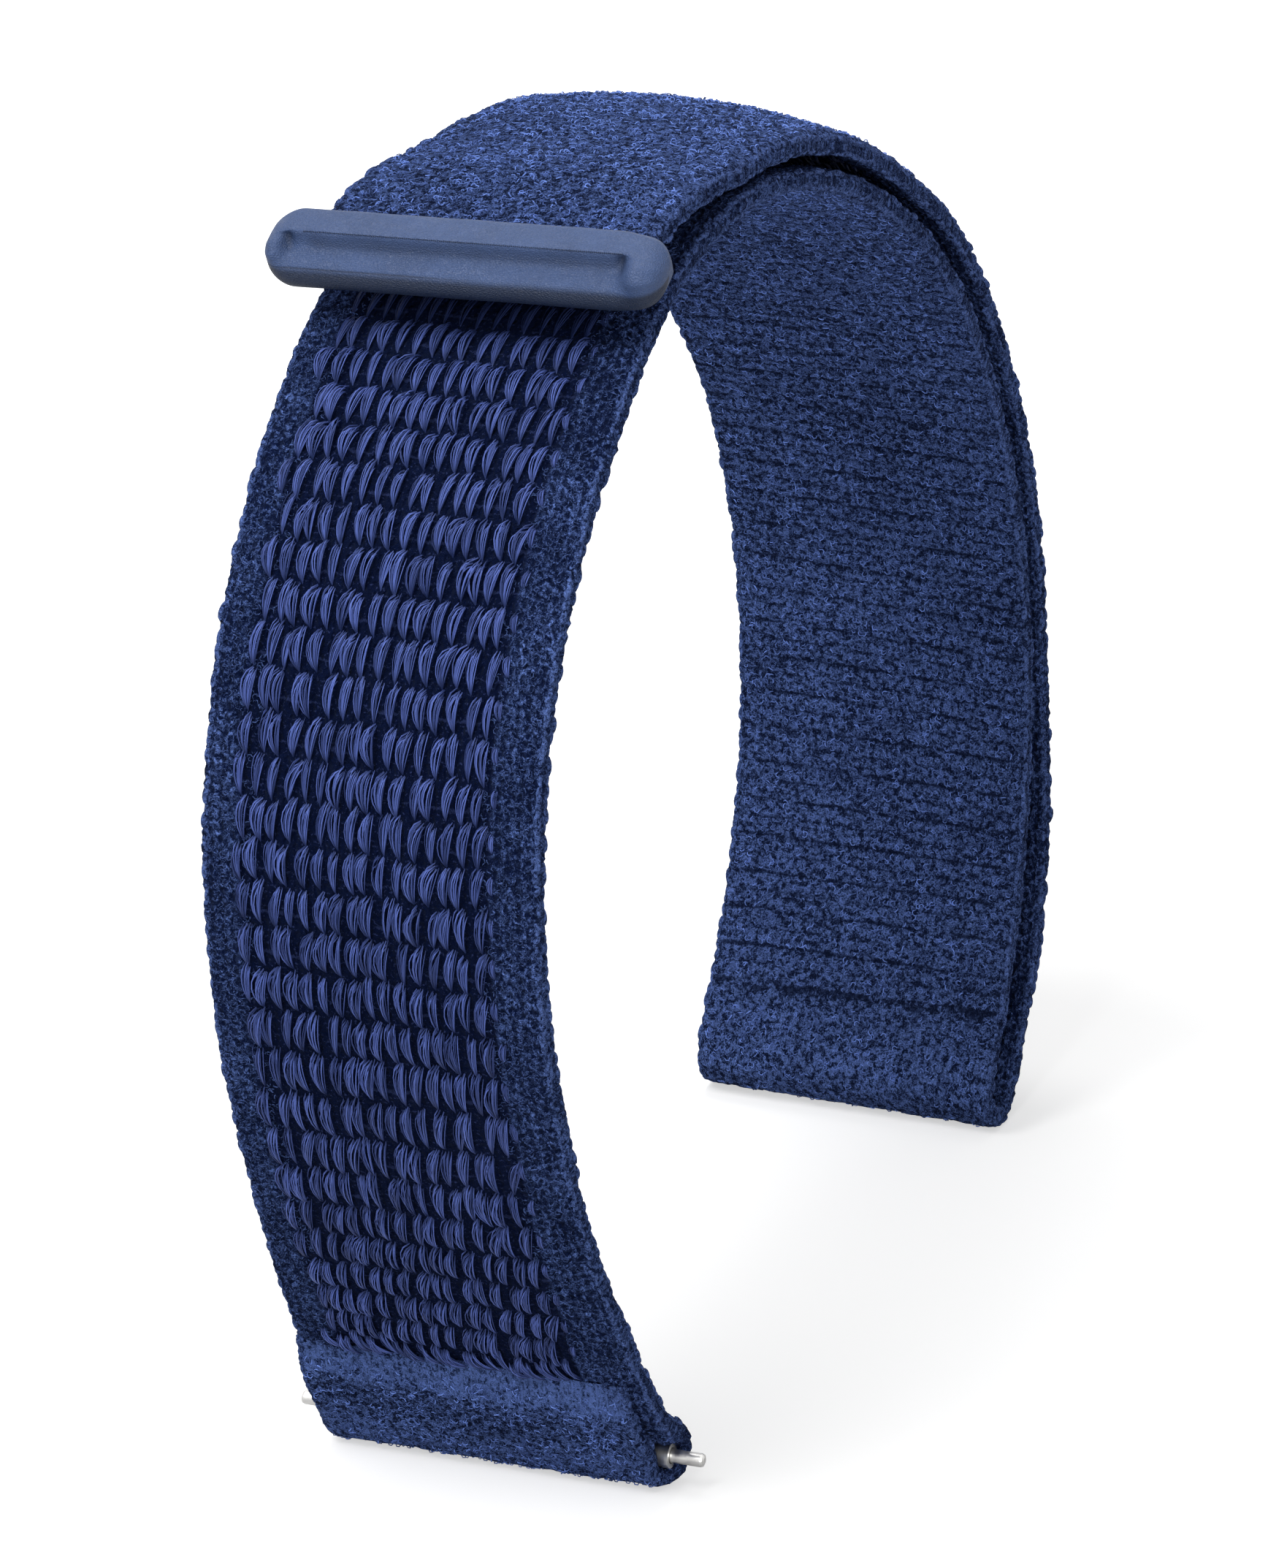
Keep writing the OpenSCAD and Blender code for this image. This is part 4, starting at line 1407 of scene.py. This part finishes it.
class BAND_OT_strap(bpy.types.Operator):
    """Makes the webbing in three stretches: front with its folded hem, back with its fold, tail"""

    bl_idname = "band.strap"
    bl_label = "Webbing"

    def execute(self, context):
        sizes = context.scene.band_sizes
        width, rows = sizes.strap_width / MM, all_rows(sizes.row_pitch / MM)
        pick = 0 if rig.quick() else 1
        step = WEB_STEP[pick]
        paths = (front_path(width, step), back_path(width, step), tail_path(width, step))
        stretches = []
        for part, path in zip(PARTS, paths):
            web = sweep_webbing(part + "_strap", path, rows, step, ridged=part == "front")
            web.data.materials.append(material_for("woven_strap_yarn"))
            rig.slot(web, "woven_strap")
            stretches.append([web])
        for i, part in enumerate(PARTS):
            stretches[i].append(edge_loops(part + "_edge_loops", paths[i], LOOP_SEED + i))
        for name, i, plain, seed, spans in curl_table(CURL_DENSITY[pick]):
            piece = curls(name, paths[i], rows, spans, seed, plain)
            # The front's upper curls stay on the strap's body, with the back
            on_strap = name in ("front_curls", "edge_curls")
            stretches[1 if on_strap else i].append(piece)
        front, back, tail = stretches
        for piece in front:
            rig.blend(piece, "strap", "leg", **leg_bend())
        for piece in back:
            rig.ride(piece, "strap")
        for piece in tail:
            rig.blend(piece, "strap", "tail", **tail_bend())
        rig.replaces(front[0], "leg_web", "hem_bond")
        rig.replaces(back[0], "strap_web")
        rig.replaces(tail[0], "tail_web")
        return {"FINISHED"}


# ---- Pile and hooks

COLUMNS, FIRST_COLUMN, NEAR_COLUMN = 16, 7.40, -7.22
# How deep a tuft's ends lie in the web, and where rows darken in the stop bar's shade
TUFT_ROOT, FRINGE_ROOT, HOOK_ROOT = 0.12, 0.02, 0.08
BAR_SHADE, BAR_SHADE_DEPTH = (75.0, 77.8), 0.92
# Share of the tufts left out. It is drawn for even at nought, so the rest keep their places.
MISSING_SHARE = 0.0
# Spreads of the tufts' places and reach in mm, and means and spreads of their lean and fullness
ROW_SHIFT, TUFT_S, TUFT_Y, TUFT_REACH = 0.10, 0.07, 0.065, 0.09
TUFT_YAW, TUFT_FULL = (-0.05, 0.07), (0.88, 0.2)
PILE_TO, LEG_PILE_TO, PILE_FROM_FOLD = 81.0, 42.0, 8
FRINGE_S, FRINGE_PITCH = 8.0, 0.52
# The tufts that the layers hide
HIDDEN = {"Filaments": 5, "Segments": 4, "Sides": 3, "Radius": 0.00007}


def tuft_points(rows, pitch, layer, seed):
    """Lower ends of the tufts of some rows, with each tuft's heading, lean, reach and fullness"""
    rng = np.random.default_rng(seed)
    tufts = []
    for low, high in zip(rows[:-1], rows[1:]):
        gap = high - low
        shift = rng.normal(0, ROW_SHIFT)
        # The rows under the stop bar take a painted shadow in their tone, and are made smaller
        shaded = 1 - BAR_SHADE_DEPTH * smooth(high, *BAR_SHADE)
        for k in range(COLUMNS):
            if rng.random() < MISSING_SHARE:
                continue
            tufts.append((
                low + rng.normal(0, TUFT_S),
                FIRST_COLUMN - pitch * k + shift + rng.normal(0, TUFT_Y),
                gap * 0.99 + rng.normal(0, TUFT_REACH),
                rng.normal(*TUFT_YAW),
                np.clip(rng.normal(*TUFT_FULL), 0.5, 1.4) * (0.5 + 0.5 * shaded),
                rng.uniform(0.72, 1.1) * shaded,
            ))
        # A column of short tufts closes the field along the near selvedge
        tufts.append((low + 0.42 * gap, NEAR_COLUMN + rng.normal(0, 0.05), 0.5 * gap,
                      rng.normal(0.05, 0.06), 0.55, 0.7 * shaded))
    s, y, reach, yaw, full, shade = np.array(tufts).T
    if layer == "inner":
        offset, turn = HALF_WEB - TUFT_ROOT + inner_wave(s, y), 0.0
    else:
        offset, turn = LINE.outer(s) - HALF_WEB + TUFT_ROOT + outer_wave(s, y), math.pi
    place = LINE.at(s, offset)
    return in_space(place, y), {
        "heading": LINE.heading(s) + turn, "yaw": yaw, "reach": reach, "full": full, "tone": shade}


def fringe_points(seed):
    """The lowest row: short tufts pressed askew against the end of the flap"""
    rng = np.random.default_rng(seed)
    y = np.arange(7.5, -7.4, -FRINGE_PITCH)
    n = len(y)
    y = y + rng.normal(0, 0.10, n)
    s = FRINGE_S + rng.normal(0, 0.14, n)
    place = LINE.at(s, HALF_WEB - FRINGE_ROOT + inner_wave(s, y))
    return in_space(place, y), {
        "heading": LINE.heading(s), "yaw": rng.normal(0.42, 0.25, n),
        "reach": rng.uniform(1.4, 2.1, n), "full": rng.uniform(0.5, 0.9, n),
        "tone": rng.uniform(0.7, 1.0, n)}


class BAND_OT_pile(bpy.types.Operator):
    """Makes the loop pile: full tufts on the front, sparser ones where the layers meet"""

    bl_idname = "band.pile"
    bl_label = "Loop pile"

    def execute(self, context):
        sizes = context.scene.band_sizes
        pitch, base = sizes.column_pitch / MM, sizes.row_pitch / MM
        rows = all_rows(base)
        front = rows[rows < PILE_TO]
        split = front[front < LEG_PILE_TO]
        inner = rows[(rows > front[-1] - 0.1) & (rows < RUN - PILE_FROM_FOLD)]
        outer = rows_from(PEEL_S + 0.5, RUN - PILE_FROM_FOLD, base)
        tail = rows_from(HOOK_TO + 0.6, PEEL_S, base)
        for name, some, layer, seed, node in (
            ("pile_leg", split, "inner", 3, "leg_pile"),
            ("pile_front", front[len(split) - 1:], "inner", 4, "inner_pile"),
            ("pile_inner", inner, "inner", 5, None),
            ("pile_outer", outer, "outer", 6, "outer_pile"),
            ("pile_tail", tail, "outer", 7, "tail_pile"),
        ):
            points, values = tuft_points(some, pitch, layer, seed)
            inputs = {"Filaments": sizes.filaments, "Segments": 6, "Sides": 3,
                      "Radius": sizes.filament_radius, "Bulge": sizes.tuft_bulge}
            if name == "pile_leg":
                low_points, low_values = fringe_points(8)
                points = np.concatenate([points, low_points])
                values = {key: np.concatenate([values[key], low_values[key]]) for key in values}
            elif name != "pile_front":
                inputs.update(HIDDEN)
                values["full"] = values["full"] * 0.8
            piece = grown(name, "loop tufts", "loop_pile", points, values, Seed=seed + 8,
                          Material=material_for("loop_pile_filament"), **inputs)
            if name == "pile_leg":
                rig.blend(piece, "strap", "leg", **leg_bend())
            elif name == "pile_tail":
                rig.blend(piece, "strap", "tail", **tail_bend())
            else:
                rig.ride(piece, "strap")
            if node:
                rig.replaces(piece, node)
        return {"FINISHED"}


# In mm: pitches along and across, and half the width that hooks cover
HOOK_PITCH, HOOK_HALF = (0.95, 0.72), 7.2


class BAND_OT_hooks(bpy.types.Operator):
    """Makes the hook patch on the inner face of the tail"""

    bl_idname = "band.hooks"
    bl_label = "Hook patch"

    def execute(self, context):
        rng = np.random.default_rng(9)
        s, y = np.meshgrid(np.arange(HOOK_FROM + 0.4, HOOK_TO - 0.3, HOOK_PITCH[0]),
                           np.arange(-HOOK_HALF, HOOK_HALF + 0.1, HOOK_PITCH[1]))
        s, y = s.ravel() + rng.normal(0, 0.06, s.size), y.ravel() + rng.normal(0, 0.05, y.size)
        place = LINE.at(s, LINE.outer(s) - HALF_WEB + HOOK_ROOT + outer_wave(s, y))
        piece = grown("hooks", "tape hooks", "hook_tape", in_space(place, y),
                      {"heading": LINE.heading(s) + math.pi},
                      Material=material_for("hook_tape_nylon"))
        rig.ride(piece, "tail")
        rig.replaces(piece, "hook_patch")
        return {"FINISHED"}


# ---- Stop bar

# Side outline of the bar, in mm: X towards the strap, Y outwards from the tail's middle
BAR_OUTLINE = (
    (1.78, -1.10), (1.84, 0.0), (1.82, 1.05), (1.72, 1.36), (1.44, 1.49), (0.6, 1.50),
    (-0.12, 1.50), (-0.22, 1.32), (-0.31, 0.95), (-0.48, 0.62), (-0.84, 0.42), (-1.30, 0.24),
    (-1.70, -0.02), (-1.92, -0.40), (-1.97, -0.78), (-1.84, -1.12), (-1.5, -1.36), (0.4, -1.42),
    (1.3, -1.40), (1.66, -1.30),
)
BAR_CREASE = 6
BAR_SEAM = (-1.62, 0.04)
# The outline at the bar's ends: half sizes and exponent of a rounded box
END_HALF, END_POWER = (1.88, 1.46), 4
# Depths of the dents, the seam and the moulding's unevenness, in mm
DENT_D, SEAM_D, UNEVEN = 0.34, 0.035, 0.016
# Length of the rounded end, exponent of its round, and where the outline softens into it
BAR_END, BAR_ROUND, BAR_SOFTEN, BAR_FADE = 2.1, 2.5, {"far": 1.9, "near": 2.9}, 1.5
BAR_TILT = (0.58, -0.38)
RING_POINTS, FLAT_RINGS, END_RINGS = 150, 150, 24
DOT_PITCH, DOT_PLACE, DOT_RADIUS = 0.115, (-0.15, 1.465), 0.000045


def closed_spline(points, crease):
    """Twelve points to a side of a closed outline, sharper before and after its crease"""
    n, fine = len(points), []
    for i in range(n):
        a, b, c, d = points[i - 1], points[i], points[(i + 1) % n], points[(i + 2) % n]
        u = np.linspace(0, 1, 12, endpoint=False)[:, None]
        m0, m1 = (c - a) * 0.40, (d - b) * 0.40
        if i == crease:
            m0 = (c - b) * 0.9
        if (i + 1) % n == crease:
            m1 = (c - b) * 0.9
        fine.append(b * (1 + 2 * u) * (1 - u) ** 2 + m0 * u * (1 - u) ** 2
                    + c * u * u * (3 - 2 * u) + m1 * u * u * (u - 1))
    fine = np.concatenate(fine)
    return np.vstack([fine, fine[:1]])


def bar_outlines():
    """The bar's outline and its rounded end's outline, point for point"""
    corner = np.array(BAR_OUTLINE)
    angle = np.arctan2(corner[:, 1] / END_HALF[1], corner[:, 0] / END_HALF[0])
    cos, sin = np.cos(angle), np.sin(angle)
    reach = (np.abs(cos) ** END_POWER + np.abs(sin) ** END_POWER) ** (-1 / END_POWER)
    plain = np.stack([END_HALF[0] * reach * cos, END_HALF[1] * reach * sin], -1)
    loops = (closed_spline(corner, BAR_CREASE), closed_spline(plain, None))
    length = np.concatenate([[0], np.cumsum(np.linalg.norm(np.diff(loops[0], axis=0), axis=1))])
    t = np.linspace(0, length[-1], RING_POINTS, endpoint=False)
    return [np.stack([np.interp(t, length, one[:, 0]), np.interp(t, length, one[:, 1])], -1)
            for one in loops]


def bar_lift(y):
    """The bar leans: how far out each end stands"""
    return BAR_TILT[0] + (BAR_TILT[1] - BAR_TILT[0]) * (y + HALF_STRAP) / (2 * HALF_STRAP)


class BAND_OT_stop_bar(bpy.types.Operator):
    """Makes the moulded stop bar with its rounded ends, crease, dimples and seam"""

    bl_idname = "band.stop_bar"
    bl_label = "Stop bar"

    def execute(self, context):
        half = context.scene.band_sizes.bar_length / MM / 2
        outline, end_outline = bar_outlines()
        normal = np.roll(outline, -1, 0) - np.roll(outline, 1, 0)
        normal = np.stack([normal[:, 1], -normal[:, 0]], -1)
        normal /= np.linalg.norm(normal, axis=1)[:, None]
        if ((outline - outline.mean(0)) * normal).sum() < 0:
            normal = -normal
        straight = half - BAR_END
        lean = BAR_END * np.sin(np.linspace(0, np.pi / 2, END_RINGS + 2)[1:-1])
        y = np.concatenate([[-half], -(straight + lean[::-1]),
                            np.linspace(-straight, straight, FLAT_RINGS), straight + lean, [half]])
        over = np.clip((np.abs(y) - straight) / BAR_END, 0, 1)
        shrink = np.clip(1 - over ** BAR_ROUND, 0.0004, 1) ** (1 / BAR_ROUND)
        soften = np.where(y > 0, BAR_SOFTEN["far"], BAR_SOFTEN["near"])
        fade = smooth(np.abs(y), half - soften, half - soften + BAR_FADE)[:, None, None]
        ring = (outline[None] * (1 - fade) + end_outline[None] * fade) * shrink[:, None, None]
        shape = ring.shape[:2]
        yy = np.broadcast_to(y[:, None], shape)
        ox, oz = (np.broadcast_to(outline[:, i], shape) for i in (0, 1))
        # A dent at each end of the crease, a seam on the far half, and painted shade under the bar and in the channel
        # below the crease
        from_end = half - (soften - 0.45)[:, None]
        dent = dome(np.abs(yy) - from_end, 0.30) * dome(ox + 0.45, 0.42) * dome(oz - 0.95, 0.52)
        seam = dome(ox - BAR_SEAM[0], 0.04) * dome(oz - BAR_SEAM[1], 0.04) * smooth(yy, -1.5, 3.5)
        channel = dome(ox + 0.42, 0.30) * dome(oz - 0.78, 0.40) * (
            1 - smooth(np.abs(yy), half - 3.2, half - 2.4))
        under_shade = 1.8 * smooth(-1.09 * ox - oz, 1.45, 2.25) * smooth(-ox, 0.9, 1.4) + 0.8 * channel
        push = -DENT_D * dent - SEAM_D * seam + UNEVEN * noise(yy / 1.6, ox / 0.9, 16)
        ring = ring + normal * (push * np.minimum(shrink * 1.6, 1)[:, None])[..., None]
        base = LINE.outer(np.array([BAR_S]))[0]
        heading = float(LINE.heading(np.array([BAR_S]))[0])
        along, out = np.array([math.cos(heading), math.sin(heading)]), left_of(heading)
        origin = LINE.at(np.array([BAR_S]), base)[0] + 0.6 * along
        above = ring[..., 1] + bar_lift(y)[:, None]
        side = origin + ring[..., :1] * along + above[..., None] * out
        piece = swept_object("stop_bar", in_space(side, yy))
        # The seam, the dents, the channel and the bar's underside are painted darker as shade
        groove = np.clip(0.7 * seam + 0.75 * dent + 0.5 * under_shade, 0, 1)
        put_attributes(piece.data, {"groove": groove.ravel()})
        material = material_for("moulded_bar_elastomer")
        piece.data.materials.append(material)
        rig.slot(piece, "moulded_bar")
        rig.ride(piece, "tail")
        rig.replaces(piece, "stop_bar_outer", "stop_bar_inner")
        y = np.arange(-(half - 2.4), half - 2.4, DOT_PITCH)
        place = origin + along * DOT_PLACE[0] + (DOT_PLACE[1] + bar_lift(y))[:, None] * out
        dots = grown("bar_crease_dots", "mould dots", "moulded_bar", in_space(place, y), {},
                     Material=material, Radius=DOT_RADIUS)
        # The dots along the crease are painted as dark as the groove shade
        put_attributes(dots.data, {"groove": 0.85})
        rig.ride(dots, "tail")
        return {"FINISHED"}


# ---- Spring bar

COIL_WIRE, COIL_TURNS, COIL_STEPS, WIRE_SIDES = 0.08, 7, 20, 8


def coil_piece(name, low, high):
    """A wire wound round the Y axis so that it fills a box"""
    count = COIL_TURNS * COIL_STEPS
    turn = np.linspace(0, 2 * math.pi * COIL_TURNS, count + 1)[:, None]
    around = np.linspace(0, 2 * math.pi, WIRE_SIDES, endpoint=False)
    radius = (high[0] - low[0]) / 2 - COIL_WIRE + COIL_WIRE * np.cos(around)
    y = (np.linspace(low[1] + COIL_WIRE, high[1] - COIL_WIRE, count + 1)[:, None]
         + COIL_WIRE * np.sin(around))
    return swept_object(name, np.stack([(low[0] + high[0]) / 2 + radius * np.cos(turn), y,
                                        (low[2] + high[2]) / 2 + radius * np.sin(turn)], -1))


class BAND_OT_spring_bar(bpy.types.Operator):
    """Gives the spring bar's tube, pins and coil their steel"""

    bl_idname = "band.spring_bar"
    bl_label = "Spring bar"

    def execute(self, context):
        steel = material_for("polished_spring_steel")
        for name in ("spring_bar_tube", "near_pin", "far_pin"):
            node = frame["nodes"][name]
            node.data.materials.clear()
            node.data.materials.append(steel)
        # Each half of the coil is squeezed between its pin and the middle of the tube
        low, high = (np.array(corner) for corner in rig.box("pin_spring"))
        middle = (low + high) / 2
        for side, pin in ((-1, "near_pin"), (1, "far_pin")):
            first, last = low.copy(), high.copy()
            (last if side < 0 else first)[1] = middle[1]
            coil = coil_piece(pin + "_coil", first / MM, last / MM)
            coil.data.materials.append(steel)
            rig.slot(coil, "steel")
            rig.replaces(coil, "pin_spring")
            start, end = [(middle[0], y, middle[2]) for y in (first[1], last[1])]
            bodies = (pin, "spring_bar") if side < 0 else ("spring_bar", pin)
            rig.blend(coil, *bodies, start=start, end=end)
        return {"FINISHED"}


# ---- Stage

IMAGE_HEIGHT = 2146
FOCAL_PIXELS = 12000.0
CAMERA_AZIMUTH, CAMERA_ELEVATION, CAMERA_ROLL = -68.4434, 19.8440, -0.14504
CAMERA_DISTANCE, CAMERA_RIGHT, CAMERA_UP = 0.522357, -0.0013627, 0.0309003
SENSOR = 36.0
CLIP = (0.01, 20.0)
FLOOR_HALF, FLOOR_DROP = 3000.0, -0.12
# The world's strength on the band, and how much more of it the camera sees
WORLD_LIGHT, WORLD_SEEN = 0.28, 0.72
AIM = (0, 0, 0.035)
# Name, place in metres, size and power
LAMPS = (
    ("key_light", (-0.46, 0.16, 0.72), 0.5, 5.2),
    ("fill_light", (-0.60, -0.40, 0.24), 0.5, 1.7),
    ("top_light", (0.16, 0.12, 0.80), 0.45, 1.9),
)


class BAND_OT_stage(bpy.types.Operator):
    """Makes the pale floor, the soft lights and the camera"""

    bl_idname = "band.stage"
    bl_label = "Stage"

    def execute(self, context):
        context.scene.view_settings.view_transform = "Standard"
        self.camera(context.scene)
        self.floor()
        self.world(context.scene)
        self.lights()
        return {"FINISHED"}

    def camera(self, scene):
        a, e, r = (math.radians(v) for v in (CAMERA_AZIMUTH, CAMERA_ELEVATION, CAMERA_ROLL))
        back = np.array([math.sin(a) * math.cos(e), -math.cos(a) * math.cos(e), math.sin(e)])
        right = np.array([math.cos(a), math.sin(a), 0.0])
        up = np.cross(back, right)
        right, up = (right * math.cos(r) + up * math.sin(r),
                     up * math.cos(r) - right * math.sin(r))
        place = back * CAMERA_DISTANCE + right * CAMERA_RIGHT + up * CAMERA_UP
        data = bpy.data.cameras.new("camera")
        data.sensor_width = SENSOR
        data.sensor_fit = "AUTO"
        data.lens = FOCAL_PIXELS * SENSOR / IMAGE_HEIGHT
        data.clip_start, data.clip_end = CLIP
        camera = linked("camera", data)
        camera.matrix_world = Matrix((*zip(right, up, back, place), (0, 0, 0, 1)))
        scene.camera = camera

    def floor(self):
        corners = [(x * FLOOR_HALF, y * FLOOR_HALF, FLOOR_DROP)
                   for x, y in ((-1, -1), (1, -1), (1, 1), (-1, 1))]
        piece = mesh_object("floor", corners, [(0, 1, 2, 3)])
        piece.data.materials.append(material_for("floor_paper"))
        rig.stage(piece)

    def world(self, scene):
        world = bpy.data.worlds.new("studio")
        scene.world = world
        world.use_nodes = True
        world.node_tree.nodes.clear()
        t = Tree(world.node_tree)
        path = t.add("ShaderNodeLightPath")
        camera, glossy, through = (Value(t, path.outputs[name]) for name in (
            "Is Camera Ray", "Is Glossy Ray", "Is Transmission Ray"))
        seen = camera.most(glossy.most(through))
        back = t.add("ShaderNodeBackground", {
            "Color": WHITE, "Strength": seen * WORLD_SEEN + WORLD_LIGHT})
        out = t.add("ShaderNodeOutputWorld")
        t.data.links.new(back.outputs[0], out.inputs["Surface"])

    def lights(self):
        for name, place, width, power in LAMPS:
            data = bpy.data.lights.new(name, "AREA")
            data.shape, data.size, data.energy = "DISK", width, power
            lamp = linked(name, data)
            lamp.location = place
            lamp.rotation_euler = (Vector(AIM) - Vector(place)).to_track_quat("-Z", "Y").to_euler()


# ---- Panel and registration

STEPS = (BAND_OT_strap, BAND_OT_pile, BAND_OT_hooks, BAND_OT_stop_bar, BAND_OT_spring_bar,
         BAND_OT_stage)


class BAND_PT_panel(bpy.types.Panel):
    """Sizes, colours and the steps that make the band"""

    bl_idname = "BAND_PT_panel"
    bl_label = "Woven loop band"
    bl_space_type = "VIEW_3D"
    bl_region_type = "UI"
    bl_category = "Band"

    def draw(self, context):
        column = self.layout.column()
        for group in (context.scene.band_sizes, context.scene.band_colours):
            for key in group.__annotations__:
                column.prop(group, key)
        for step in STEPS:
            column.operator(step.bl_idname)


CLASSES = (BandSizes, BandColours) + STEPS + (BAND_PT_panel,)


def register():
    for one in CLASSES:
        bpy.utils.register_class(one)
    bpy.types.Scene.band_sizes = PointerProperty(type=BandSizes)
    bpy.types.Scene.band_colours = PointerProperty(type=BandColours)


def unregister():
    del bpy.types.Scene.band_colours
    del bpy.types.Scene.band_sizes
    for one in reversed(CLASSES):
        bpy.utils.unregister_class(one)


def main():
    register()
    for step in STEPS:
        package, name = step.bl_idname.split(".")
        getattr(getattr(bpy.ops, package), name)()
    boxes = {"cad": CAD_BOX, "visual": [list(corner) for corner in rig.bounds()]}
    with open("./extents.json", "w") as out:
        json.dump(boxes, out)


if __name__ == "__main__":
    main()
